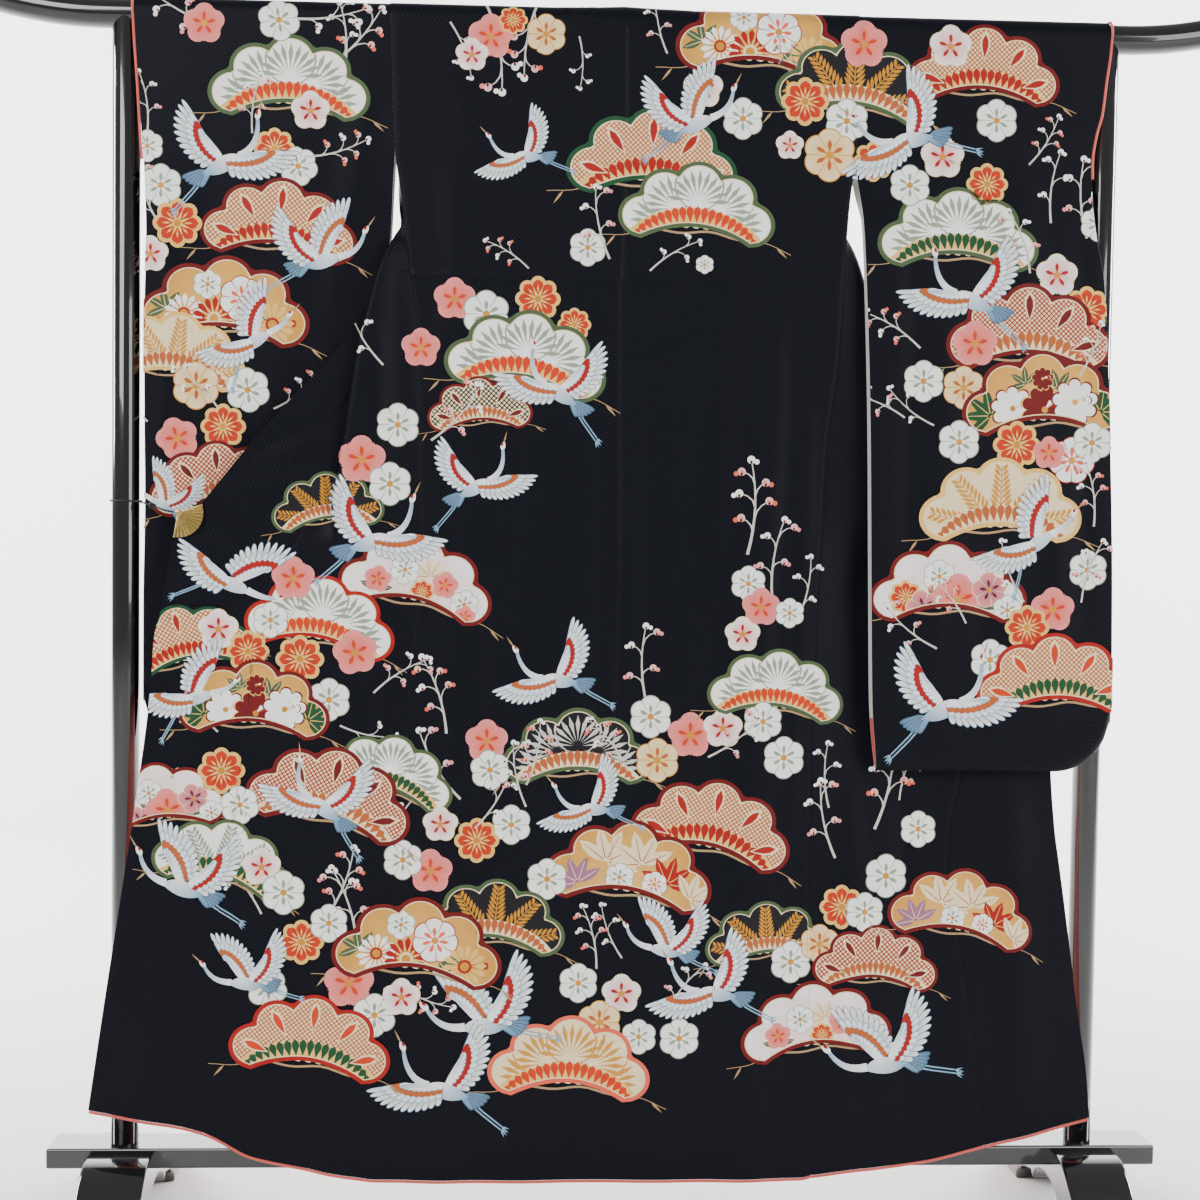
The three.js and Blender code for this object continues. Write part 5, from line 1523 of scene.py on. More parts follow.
def spray(leaves, paint, vein, length):
    """Leaves that fan out from a point."""
    made = Drawing()
    for i in range(leaves):
        angle = 90 + (i - (leaves - 1) / 2) * 200 / leaves
        made.draw(leaf(0, 0, angle, length, length * 0.36, 0.5, 4), INK[paint])
        made.draw(ribbon([polar(angle, length * 0.1), polar(angle, length * 0.85)], [0.9, 0.4]), INK[vein])
    return made


def twig(seed, buds, bud):
    """A bent shoot with side shoots, each ending in round buds."""
    random = np.random.default_rng(seed)
    made = Drawing()
    bend = 14 * (-1) ** seed
    spine = bow((0, 0), (bend, 52), (bend * 0.2, 104), 9)
    made.draw(ribbon(spine, np.linspace(3.4, 1.2, 9)), INK["birch"])
    tips = [spine[-1]]
    for i in range(buds):
        start = spine[2 + i * 6 // buds]
        side = 1 if i % 2 else -1
        reach = 16 + 12 * random.random()
        end = start + polar(90 - side * (38 + 16 * random.random()), reach)
        made.draw(ribbon(bow(start, start + (side * 2, reach * 0.55), end, 4), [2.2, 1.7, 1.3, 1.0]),
                  INK["birch"])
        tips.append(end)
    for i, tip in enumerate(tips):
        paint = bud if i % 3 else "white"
        made.draw(disc(*tip, 4.6, 9), INK[paint], INK["white"], focus=tip, reach=9)
        made.draw(leaf(*(tip - (0, 5)), 90, 4.6, 3.4, 0.5, 3), INK["red"])
        beside = tip + polar(200 if i % 2 else -20, 6.5)
        made.draw(disc(*beside, 3.0, 7), INK[paint])
    return made


# ---- Pine clouds --------------------------------------------------------------------------

CLOUD = 80.0
CLOUD_LOBES = (17, 53, 90, 127, 163)
CLOUD_FLAT = 0.90
CLOUD_LOBE_AT = 0.68


def cloud_outline(inset):
    """A dome of five scallops over an arched base; inset draws it in."""
    radius = 0.31 - inset
    tangent = 0.98 * math.degrees(math.asin(radius / CLOUD_LOBE_AT))
    ends = CLOUD_LOBES[0] - tangent, CLOUD_LOBES[-1] + tangent
    dome = lobed(CLOUD_LOBES, CLOUD_LOBE_AT, radius, *ends, 66) * (1, CLOUD_FLAT)
    x = np.linspace(dome[-1][0], dome[0][0], 15)[1:-1]
    base = np.stack([x, dome[0][1] + (1 - (x / dome[0][0]) ** 2) * 0.19], -1)
    return np.concatenate([dome, base]) * CLOUD


def cloud_base(drawing, paint, line, within):
    """A crescent of close petals that stands on the base from tip to tip."""
    x = np.linspace(-0.80, 0.80, 15)
    foot = 0.16 - 0.30 * x * x
    crown = foot + 0.17 * np.sqrt(1 - (x / 0.82) ** 2)
    crescent = np.concatenate([np.stack([x, foot - 0.05], -1), np.stack([x, crown], -1)[::-1]])
    drawing.draw(crescent * CLOUD, INK[line], within=within)
    for i in range(19):
        share = (i - 9) / 9.5
        start = np.array([share * 0.70, 0.12 - 0.20 * share * share]) * CLOUD
        length = 0.20 * (1 - share * share) ** 0.5 + 0.03
        drawing.draw(leaf(*start, 90 - share * 56, length * CLOUD, 0.092 * CLOUD, 0.70, 5), INK[paint],
                     within=within)


def cloud_branch(drawing):
    """The bare branch below a cloud, with a row of small loops."""
    x = np.linspace(-1.16, 1.18, 26)
    rise = 0.02 + 0.11 * (1 - x * x) + 0.022 * np.sin(9 * x)
    spine = np.stack([x, rise - 0.10], -1) * CLOUD
    width = 2.6 * np.clip(1.15 - np.abs(x), 0.25, 0.8)
    for i in range(13):
        share = (i - 6) / 6.8
        centre = np.array([share * 0.86, 0.005 + 0.135 * (1 - share * share)]) * CLOUD
        drawing.draw(disc(*centre, 5.4, 9), INK["cream"])
        drawing.draw(disc(centre[0], centre[1] - 0.6, 3.6, 8), None)
    drawing.draw(ribbon(spine, width), INK["bark"])
    for at, angle in ((2, 235), (4, 125), (21, 55), (23, -40)):
        drawing.draw(leaf(*spine[at], angle, 15, 2.4, 0.3, 3), INK["bark"])


def cloud(border, line, ground, rim, gold=0.0, thread=None, fan=None):
    """A pine cloud's branch, borders and ground; the index of its ground bounds what is drawn in it."""
    made = Drawing()
    cloud_branch(made)
    made.draw(cloud_outline(0), INK[border], gold=0.1)
    made.draw(cloud_outline(0.052), INK[line])
    inside = made.draw(cloud_outline(0.066), INK[ground], INK[rim], focus=(0, 0.1 * CLOUD), reach=CLOUD,
                       gold=gold, thread=thread)
    if fan:
        cloud_base(made, *fan, inside)
    return made, inside


def about_middle(cloud_drawing):
    """A cloud drawn about its middle instead of its base."""
    made = Drawing()
    made.paste(cloud_drawing, 0, -0.38 * CLOUD)
    return made


def needle_cloud(border, ground, needle, fan):
    """Each scallop holds a fan of pine needles."""
    made, inside = cloud(border, "cream", ground, ground)
    for angle in (17, 163, 53, 127, 90):
        middle = polar(angle, 0.66 * CLOUD) * (1, CLOUD_FLAT)
        made.draw(disc(*middle, 0.30 * CLOUD, 18), INK[needle], within=inside)
        made.draw(disc(*middle, 0.285 * CLOUD, 18), INK[ground], within=inside)
        root = polar(angle, 0.44 * CLOUD) * (1, CLOUD_FLAT)
        for k in range(11):
            way = angle - 85 + 17 * k
            start = root + polar(way, 0.06 * CLOUD)
            made.draw(leaf(*start, way, 0.34 * CLOUD, 0.062 * CLOUD, 0.76, 3), INK[needle], within=inside)
    cloud_base(made, *fan, inside)
    return about_middle(made)


def lattice_cloud(border, ground, thread, leaf_paint, fan):
    """A laid lattice with one long leaf in each scallop."""
    made, inside = cloud(border, "cream", ground, ground, thread=(*INK[thread], 1.0), fan=fan)
    for angle in CLOUD_LOBES:
        start = polar(angle, 0.50 * CLOUD) * (1, CLOUD_FLAT)
        made.draw(leaf(*start, angle, 0.36 * CLOUD, 0.125 * CLOUD, 0.6, 5), INK["cream"], within=inside)
        start = polar(angle, 0.53 * CLOUD) * (1, CLOUD_FLAT)
        made.draw(leaf(*start, angle, 0.29 * CLOUD, 0.085 * CLOUD, 0.6, 4), INK[leaf_paint], within=inside)
    return about_middle(made)


def fern_cloud(border, ground, frond, gold, fan):
    """Feathered fronds rise from the base, one to a scallop."""
    made, inside = cloud(border, "cream", ground, ground)
    for angle in CLOUD_LOBES:
        root = polar(angle, 0.30 * CLOUD) * (1, CLOUD_FLAT)
        end = polar(angle, 0.88 * CLOUD) * (1, CLOUD_FLAT)
        made.draw(ribbon([root, end], [1.6, 0.8]), INK[frond], gold=gold, within=inside)
        for k in range(8):
            at = root + (end - root) * (k / 8)
            length = (0.20 - 0.012 * k) * CLOUD
            for side in (-1, 1):
                made.draw(leaf(*at, angle + side * 42, length, 0.044 * CLOUD, 0.6, 3), INK[frond],
                          gold=gold, within=inside)
    cloud_base(made, *fan, inside)
    return about_middle(made)


def flower_cloud(border, ground, rim, gold, flowers, leaves):
    """Whole flowers on a plain or gilt ground."""
    made, inside = cloud(border, "cream", ground, rim, gold=gold)
    for x, y, scale, turn, kind in leaves:
        made.paste(kind, x * CLOUD, y * CLOUD, scale, turn, within=inside)
    for x, y, scale, turn, kind in flowers:
        made.paste(kind, x * CLOUD, y * CLOUD, scale, turn, within=inside)
    return about_middle(made)


# ---- Cranes -----------------------------------------------------------------------------

def wing(drawing, root, wrist, first, last, short, long, feathers, band):
    """A raised wing: long feathers that fan out, and over them rows of short ones, one coloured."""
    root, wrist = np.array(root, float), np.array(wrist, float)

    def row(count, reach, outline, paint, rim, width, tapered):
        for i in range(count):
            share = i / (count - 1)
            base = root + (wrist - root) * share**0.85
            angle = first + (last - first) * share
            length = (short + (long - short) * math.sin(math.pi / 2 * share)) * reach
            wide = width - tapered * share
            drawing.draw(blade(*base, angle, length, wide, 0.05), INK[outline])
            drawing.draw(blade(*base, angle, length - 0.9, wide - 1.3, 0.05), INK[paint], INK[rim],
                         focus=base + polar(angle, length), reach=length)

    row(feathers, 1.0, "slate", "white", "slate", 8.4, 2.2)
    row(feathers - 2, 0.66, "mist", "white", "mist", 8.0, 2.0)
    row(feathers - 2, 0.44, band, band, band, 8.6, 2.4)
    row(feathers - 3, 0.24, "mist", "white", "white", 8.6, 2.4)
    spine = bow(root - (0, 1), (root + wrist) / 2 + polar(last, 4), wrist + polar(last, 10), 6)
    drawing.draw(ribbon(spine, [5, 6, 5.5, 5, 4, 2]), INK["white"], INK["mist"], focus=root, reach=50)


def crane(first_wing, second_wing, neck, legs):
    """A flying crane, its body near the centre and its head to the right."""
    made = Drawing()
    for side in (-1, 1):
        hip = np.array([-22, -8 + side * 2.0])
        knee = hip + polar(legs, 26)
        foot = knee + polar(legs - 4, 26)
        made.draw(ribbon([hip, knee, foot], [2.4, 1.6, 1.4]), INK["mist"])
        for toe in (-24, 0, 24):
            made.draw(leaf(*foot, legs + toe, 9, 1.6, 0.3, 3), INK["mist"])
    wing(made, *first_wing)
    for i in range(6):
        made.draw(blade(-16, -4, 178 + i * 9, 33 - i * 2, 7), INK["slate"])
        made.draw(blade(-16, -4, 178 + i * 9, 32 - i * 2, 5), INK["mist"], INK["slate"], (-16, -4), 40)
    belly = bow((-26, -6), (-4, -22), (24, -3), 9)
    body = np.concatenate([belly, bow((24, -3), (8, 15), (-26, -6), 9)[1:-1]])
    made.draw(body, INK["white"], INK["mist"], focus=(8, 10), reach=34)
    throat, reach = np.array([20.0, -1.0]), np.array(neck, float)
    line = bow(throat, throat + (reach - throat) * (0.75, 0.05), reach, 9)
    made.draw(ribbon(line, np.linspace(9, 3.6, 9)), INK["white"], INK["mist"], focus=throat, reach=48)
    facing = math.degrees(math.atan2(*(line[-1] - line[-3])[::-1])) - 16
    made.draw(leaf(*(reach - polar(facing, 4)), facing, 13, 6.6, 0.4, 5), INK["white"])
    made.draw(leaf(*(reach + polar(facing, 6)), facing, 17, 2.4, 0.15, 3), INK["bark"])
    made.draw(leaf(*(reach + polar(facing + 60, 2.0)), facing, 6, 3.2, 0.5, 4), INK["vermilion"])
    wing(made, *second_wing)
    return made


def make_cranes():
    """Cranes with the wings raised, spread, and trailing."""
    return {
        "crane_raised": crane(
            ((6, 5), (24, 28), 146, 62, 24, 46, 12, "ochre"),
            ((-6, 4), (-24, 24), 200, 114, 26, 52, 12, "vermilion"), (56, 26), 205),
        "crane_spread": crane(
            ((0, 6), (-10, 30), 186, 98, 26, 50, 12, "vermilion"),
            ((8, 2), (40, -4), 262, 338, 24, 48, 12, "ochre"), (54, 34), 212),
        "crane_turning": crane(
            ((6, 6), (26, 28), 158, 60, 26, 48, 12, "vermilion"),
            ((-6, 0), (-34, 6), 250, 170, 26, 50, 12, "ochre"), (56, 10), 236),
    }


def make_drawings():
    """Every drawing that the pattern uses, by name."""
    white = round_blossom(6, "white", "white", "sage", "gold", "sage")
    pink = round_blossom(5, "pink", "white", "cream", "gold", "vermilion")
    salmon = round_blossom(5, "salmon", "pink", "pink", "gold", "orange")
    straw = round_blossom(6, "straw", "cream", "gold", "gold", "ochre")
    ringed = round_blossom(7, "white", "white", "vermilion", "gold", "salmon")
    wheel = wheel_blossom("orange", "straw")
    lilac = round_blossom(5, "lilac", "pink", "cream", "gold", "red")
    red_aster = aster(14, "vermilion", "cream", "gold")
    white_aster = aster(14, "white", "vermilion", "gold")
    ochre_aster = aster(14, "straw", "vermilion", "gold")
    red_peony = peony("red", "vermilion", "white", "straw")
    white_peony = peony("white", "white", "blush", "red")
    green_leaves = spray(5, "green", "straw", 26)
    moss_leaves = spray(4, "moss", "cream", 24)
    red_leaves = spray(5, "vermilion", "straw", 26)
    lilac_leaves = spray(5, "lilac", "cream", 24)
    cream_leaves = spray(5, "cream", "vermilion", 28)
    orange_fan, green_fan, red_fan = ("orange", "straw"), ("green", "straw"), ("vermilion", "straw")
    ochre_fan = ("ochre", "cream")
    return {
        "white": white, "pink": pink, "salmon": salmon, "straw": straw, "ringed": ringed, "wheel": wheel,
        "twig_a": twig(1, 4, "pink"), "twig_b": twig(2, 5, "salmon"), "twig_c": twig(3, 3, "white"),
        "needles_sage": needle_cloud("moss", "white", "sage", orange_fan),
        "needles_green": needle_cloud("moss", "white", "sage", green_fan),
        "needles_red": needle_cloud("vermilion", "white", "sage", orange_fan),
        "needles_night": needle_cloud("moss", "black", "birch", ochre_fan),
        "needles_cream": needle_cloud("salmon", "cream", "gold", orange_fan),
        "lattice_orange": lattice_cloud("red", "cream", "ochre", "vermilion", red_fan),
        "lattice_green": lattice_cloud("green", "cream", "ochre", "vermilion", red_fan),
        "lattice_leafy": lattice_cloud("vermilion", "cream", "ochre", "orange", green_fan),
        "lattice_red": lattice_cloud("red", "cream", "vermilion", "red", ochre_fan),
        "lattice_night": lattice_cloud("red", "cream", "black", "red", ochre_fan),
        "ferns_night": fern_cloud("moss", "black", "gold", 0.8, ochre_fan),
        "ferns_white": fern_cloud("moss", "white", "sage", 0.0, green_fan),
        "ferns_gold": fern_cloud("straw", "cream", "gold", 0.4, ochre_fan),
        "gold_asters": flower_cloud("red", "straw", "gold", 0.35, [
            (-0.46, 0.20, 0.72, 0, white_aster), (-0.12, 0.17, 0.80, 0, red_aster),
            (0.18, 0.42, 0.78, 10, ringed), (0.54, 0.16, 0.80, 20, ochre_aster), (-0.22, 0.55, 0.5, 0, white),
        ], [(0.24, 0.20, 0.9, -60, moss_leaves), (-0.66, 0.24, 0.8, 40, moss_leaves)]),
        "gold_peonies": flower_cloud("red", "straw", "gold", 0.35, [
            (-0.36, 0.22, 0.80, 0, white_peony), (0.02, 0.20, 0.9, 30, red_peony),
            (0.38, 0.28, 0.86, 0, white_peony), (0.0, 0.56, 0.42, 0, red_peony),
        ], [(-0.62, 0.14, 1, 50, green_leaves), (0.68, 0.16, 1, -50, green_leaves),
            (0.18, 0.44, 0.8, -10, moss_leaves), (-0.2, 0.5, 0.7, 30, moss_leaves)]),
        "gold_leaves": flower_cloud("red", "straw", "gold", 0.35, [
            (-0.10, 0.22, 0.5, 0, white), (0.30, 0.20, 0.45, 0, ringed),
        ], [(-0.56, 0.10, 1.0, 30, lilac_leaves), (-0.28, 0.38, 1.1, -20, cream_leaves),
            (0.12, 0.40, 1.1, 20, cream_leaves), (0.44, 0.22, 1.0, -10, red_leaves),
            (0.72, 0.08, 0.9, -50, cream_leaves), (-0.02, 0.12, 0.9, 180, red_leaves)]),
        "rose_blossoms": flower_cloud("red", "blush", "white", 0.0, [
            (-0.52, 0.20, 0.62, 0, wheel), (-0.30, 0.08, 0.66, 20, lilac), (-0.12, 0.46, 0.60, 0, white),
            (0.12, 0.18, 0.95, 0, salmon), (0.50, 0.30, 0.66, 10, lilac), (0.72, 0.06, 0.55, 0, white),
        ], [(-0.12, 0.16, 0.8, 60, moss_leaves), (0.36, 0.12, 0.9, -70, moss_leaves)]),
        "rose_fruit": flower_cloud("red", "blush", "white", 0.0, [
            (-0.48, 0.24, 0.5, 0, salmon), (-0.18, 0.42, 0.55, 0, white), (0.08, 0.20, 0.45, 0, wheel),
            (0.34, 0.34, 0.5, 0, salmon), (0.62, 0.16, 0.55, 0, white), (0.66, 0.02, 0.4, 0, salmon),
        ], [(-0.48, 0.12, 0.7, 0, moss_leaves), (0.14, 0.40, 0.7, 20, cream_leaves)]),
        **make_cranes(),
    }


# ---- Laying the pattern on the silk ---------------------------------------------------------

class Surface:
    """The outer faces of some pieces of cloth as they are seen from the front."""

    def __init__(self, names):
        points, faces, base = [], [], 0
        for name in names:
            mesh = bpy.data.objects[name].data
            mesh.calc_loop_triangles()
            points.append(self.read(mesh.vertices, "co", 3))
            corners = self.read(mesh.loop_triangles, "vertices", 3, int)
            owners = self.read(mesh.loop_triangles, "polygon_index", 1, int).ravel()
            outer = self.read(mesh.polygons, "material_index", 1, int).ravel() == 0
            whole = self.read(mesh.polygons, "loop_total", 1, int).ravel() == 4
            faces.append(corners[(outer & whole)[owners]] + base)
            base += len(mesh.vertices)
        points = np.concatenate(points)
        faces = np.concatenate(faces)
        self.tree = BVHTree.FromPolygons(points.tolist(), faces.tolist())
        pairs = np.concatenate([faces[:, [k, (k + 1) % 3]] for k in range(3)])
        pairs = np.unique(np.sort(pairs, axis=1), axis=0)
        seen = np.zeros(len(points), bool)
        for i in np.unique(faces):
            hit = self.hit(points[i][0], points[i][2])
            seen[i] = hit is not None and abs(hit[0].y - points[i][1]) < 0.0015
        self.pairs = pairs[seen[pairs].all(1)]
        self.flat = points[:, [0, 2]] / MM

    @staticmethod
    def read(collection, field, width, kind=float):
        values = np.empty(len(collection) * width, kind)
        collection.foreach_get(field, values)
        return values.reshape(-1, width)

    def hit(self, x, z):
        """Where a ray from the front meets the cloth at x, z in metres, and the way the cloth faces."""
        place, normal, _, _ = self.tree.ray_cast((x, -1.0, z), (0, 1, 0))
        if place is None:
            return None
        return place, normal if normal.y < 0 else -normal

    def near(self, x, z, reach=0.010):
        """The cloth next to a point beside its edge."""
        place, normal, _, _ = self.tree.find_nearest((x, -0.045, z), reach + 0.05)
        if place is None or math.hypot(place.x - x, place.z - z) > reach:
            return None
        return place, normal if normal.y < 0 else -normal

    def edges_near(self, low, high):
        ends = self.flat[self.pairs]
        inside = (ends.max(1) > low).all(1) & (ends.min(1) < high).all(1)
        return self.pairs[inside]


def anticlockwise(outline):
    """The outline in the direction that the triangulation takes as filled."""
    (x, y), (next_x, next_y) = outline.T, np.roll(outline, -1, axis=0).T
    return outline if np.sum(x * next_y - next_x * y) > 0 else outline[::-1]


def place(drawing, x, z, size, turn, flip):
    """A drawing's outlines where they lie, and the matrix that turned and sized them."""
    spin = rotation(turn) * size @ np.diag([-1.0 if flip else 1.0, 1.0])
    return [anticlockwise(outline @ spin.T) + (x, z) for outline in drawing.outlines], spin


def lay(surface, drawing, x, z, size, turn, flip, lift):
    """A drawing's triangles on the cloth, cut along the cloth's own faces."""
    outlines, spin = place(drawing, x, z, size, turn, flip)
    stacked = np.concatenate(outlines)
    pairs = surface.edges_near(stacked.min(0), stacked.max(0))
    used, renumbered = np.unique(pairs, return_inverse=True)
    vertices = [Vector(p) for p in np.concatenate([stacked, surface.flat[used]])]
    edges = (renumbered.reshape(-1, 2) + len(stacked)).tolist()
    loops, start = [], 0
    for outline in outlines:
        loops.append(list(range(start, start + len(outline))))
        start += len(outline)
    points, _, triangles, _, _, sources = delaunay_2d_cdt(vertices, edges, loops, 0, 1e-4)
    placed, away = [], []
    for p in points:
        met = surface.hit(p.x * MM, p.y * MM) or surface.near(p.x * MM, p.y * MM)
        away.append(met is None)
        placed.append(met[0] + met[1] * lift if met else Vector((0, 0, 0)))
    back = np.linalg.inv(spin)
    faces, shapes = [], []
    for triangle, inside in zip(triangles, sources):
        if not inside or any(away[v] for v in triangle):
            continue
        present = set(inside)
        top = next((s for s in sorted(present, reverse=True)
                    if drawing.inks[s][6] < 0 or drawing.inks[s][6] in present), None)
        if top is None or drawing.inks[top][0] is None:
            continue
        depths = [placed[v].y for v in triangle]
        if max(depths) - min(depths) > 0.012:
            continue
        middle = sum((points[v] for v in triangle), Vector((0, 0))) / 3
        if surface.hit(middle.x * MM, middle.y * MM) is None:
            continue
        faces.append(triangle)
        shapes.append(top)
    flat = np.array([tuple(p) for p in points])
    local = (flat - (x, z)) @ back.T
    return np.array([tuple(p) for p in placed]), faces, shapes, local


def corner_colours(drawing, faces, shapes, local):
    """Paint with its gilding, and thread with its strength, for each corner."""
    corners = local[np.array(faces)]
    inks = [drawing.inks[s] for s in shapes]
    paint = np.array([ink[0] for ink in inks])[:, None]
    rim = np.array([ink[1] for ink in inks])[:, None]
    focus = np.array([ink[2] for ink in inks])[:, None]
    reach = np.array([ink[3] for ink in inks])[:, None]
    share = np.clip(np.linalg.norm(corners - focus, axis=2) / reach, 0, 1)[..., None]
    colours = paint + (rim - paint) * share
    gold = np.broadcast_to(np.array([ink[4] for ink in inks])[:, None, None], (*colours.shape[:2], 1))
    threads = np.array([ink[5] or (0, 0, 0, 0) for ink in inks])[:, None]
    return np.concatenate([colours, gold], -1), np.broadcast_to(threads, (*colours.shape[:2], 4))


def make_pattern(name, cloth_names, table, drawings):
    """One region's pattern, each row of its table painted over those before it."""
    surface = Surface(cloth_names)
    cloth = bpy.context.scene.furisode_cloth
    vertices, faces, paints, threads, drawn, under = [], [], [], [], [], []
    base = 0
    for x, z, width, *pose, kind in table:
        turn, flip = (*pose, *(0, False)[len(pose):])
        drawing = drawings[kind]
        size = width / NATURAL_WIDTH[kind.split("_")[0]]
        covered = np.concatenate(place(drawing, x, z, size, turn, flip)[0])
        low, high = covered.min(0), covered.max(0)
        level = 1 + max((n for a, b, n in under if (a < high).all() and (b > low).all()), default=-1)
        under.append((low, high, level))
        lift = cloth.pattern_lift + cloth.pattern_step * level
        placed, triangles, shapes, local = lay(surface, drawing, x, z, size, turn, flip, lift)
        if not triangles:
            continue
        paint, thread = corner_colours(drawing, triangles, shapes, local)
        vertices.append(placed)
        faces.append(np.array(triangles) + base)
        paints.append(paint.reshape(-1, 4))
        threads.append(thread.reshape(-1, 4))
        drawn.append(local[np.array(triangles)].reshape(-1, 2) * size * MM)
        base += len(placed)
    whole = np.concatenate(vertices)
    faces = np.concatenate(faces)
    used, faces = np.unique(faces, return_inverse=True)
    piece = new_object(name, whole[used], faces.reshape(-1, 3))
    mesh = piece.data
    for label, values in (("paint", paints), ("thread", threads)):
        layer = mesh.color_attributes.new(name=label, type="FLOAT_COLOR", domain="CORNER")
        layer.data.foreach_set("color", np.concatenate(values).ravel())
    mesh.uv_layers.new(name="drawn").data.foreach_set("uv", np.concatenate(drawn).ravel())
    mesh.materials.append(material("dyed_pattern"))
    stands_for(piece, "silk")
    return piece


# ---- Where the pattern lies ---------------------------------------------------------------

# Natural width of each kind of drawing, in millimetres.
NATURAL_WIDTH = {
    "white": 54, "pink": 54, "rose": 160, "salmon": 54, "straw": 54, "ringed": 54, "wheel": 54, "twig": 104,
    "needles": 160, "lattice": 160, "ferns": 160, "gold": 160, "crane": 150,
}

# Each row: x, z of the middle in millimetres, width, turn in degrees, mirrored, drawing. The turn and
# the mirroring are left out at the end where there are none.
LEFT_SLEEVE = [
    (-545, 1640, 110, 60, "twig_a"), (-400, 1590, 110, -40, "twig_b"),
    (-375, 1600, 90, 10, True, "twig_c"), (-620, 1370, 90, 20, "twig_a"),
    (-455, 1655, 110, -80, True, "twig_c"),
    (-450, 1575, 228, -2, "needles_sage"),
    (-565, 1645, 56, "salmon"), (-465, 1652, 58, 10, "white"),
    (-422, 1532, 54, "pink"), (-470, 1480, 56, "wheel"),
    (-438, 1457, 54, 15, "white"), (-622, 1428, 58, "white"),
    (-640, 1480, 44, "white"),
    (-462, 1385, 222, -6, "lattice_orange"),
    (-600, 1378, 66, "wheel"), (-636, 1336, 50, "pink"),
    (-535, 1275, 240, -4, "gold_asters"),
    (-600, 1208, 200, -8, "ferns_gold"),
    (-575, 1160, 66, "straw"), (-505, 1155, 62, 8, "white"),
    (-538, 1105, 62, "wheel"), (-600, 1088, 58, 20, "salmon"),
    (-470, 1130, 80, -50, "twig_b"), (-640, 1110, 80, 30, "twig_c"),
    (-430, 1470, 90, -72, "twig_b"), (-500, 1500, 80, -10, "twig_a"),
    (-640, 1500, 80, 10, True, "twig_a"), (-545, 1130, 80, 50, True, "twig_c"),
    (-545, 1035, 200, 6, "lattice_red"),
    (-540, 1462, 180, 20, "crane_spread"),
    (-405, 1335, 165, 8, "crane_raised"),
    (-497, 1225, 150, 24, "crane_turning"),
    (-618, 1000, 120, -20, True, "crane_raised"),
]

LEFT_FRONT = [
    (-395, 1005, 160, 6, "ferns_night"),
    (-270, 905, 222, -12, "rose_fruit"),
    (-590, 815, 190, 14, "lattice_green"),
    (-400, 850, 215, -10, "needles_red"),
    (-440, 900, 60, "salmon"), (-540, 830, 56, "pink"),
    (-500, 800, 58, "wheel"), (-430, 790, 66, "wheel"),
    (-355, 800, 62, 10, "salmon"), (-470, 843, 50, "white"),
    (-390, 735, 60, "white"), (-330, 745, 90, -60, "twig_a"),
    (-375, 700, 80, -100, True, "twig_c"), (-540, 690, 80, 60, "twig_b"),
    (-300, 560, 80, -40, "twig_c"), (-560, 560, 90, 30, "twig_a"),
    (-480, 440, 90, 40, True, "twig_c"), (-300, 345, 90, -110, "twig_b"),
    (-560, 735, 52, "salmon"),
    (-490, 735, 215, -4, "gold_peonies"),
    (-305, 640, 190, -14, "needles_green"),
    (-385, 610, 240, -14, "lattice_red"),
    (-620, 600, 190, 8, "rose_blossoms"),
    (-535, 637, 64, "wheel"), (-510, 590, 54, 10, "white"),
    (-530, 520, 200, -14, "ferns_white"),
    (-480, 505, 54, "pink"), (-450, 470, 62, "white"),
    (-395, 430, 110, -20, "twig_b"), (-350, 400, 110, 20, True, "twig_a"),
    (-425, 402, 62, "wheel"), (-388, 428, 54, "white"),
    (-472, 338, 58, 12, "white"), (-360, 345, 70, "salmon"),
    (-265, 402, 245, -6, "gold_asters"),
    (-325, 300, 62, "white"), (-288, 325, 54, "pink"),
    (-410, 270, 232, -8, "lattice_leafy"),
    (-335, 955, 180, 12, "crane_spread"),
    (-520, 895, 165, -30, "crane_turning"),
    (-570, 740, 150, 10, "crane_turning"),
    (-395, 590, 165, -30, True, "crane_spread"),
    (-585, 480, 180, -12, True, "crane_raised"),
    (-500, 348, 150, 4, True, "crane_raised"),
]

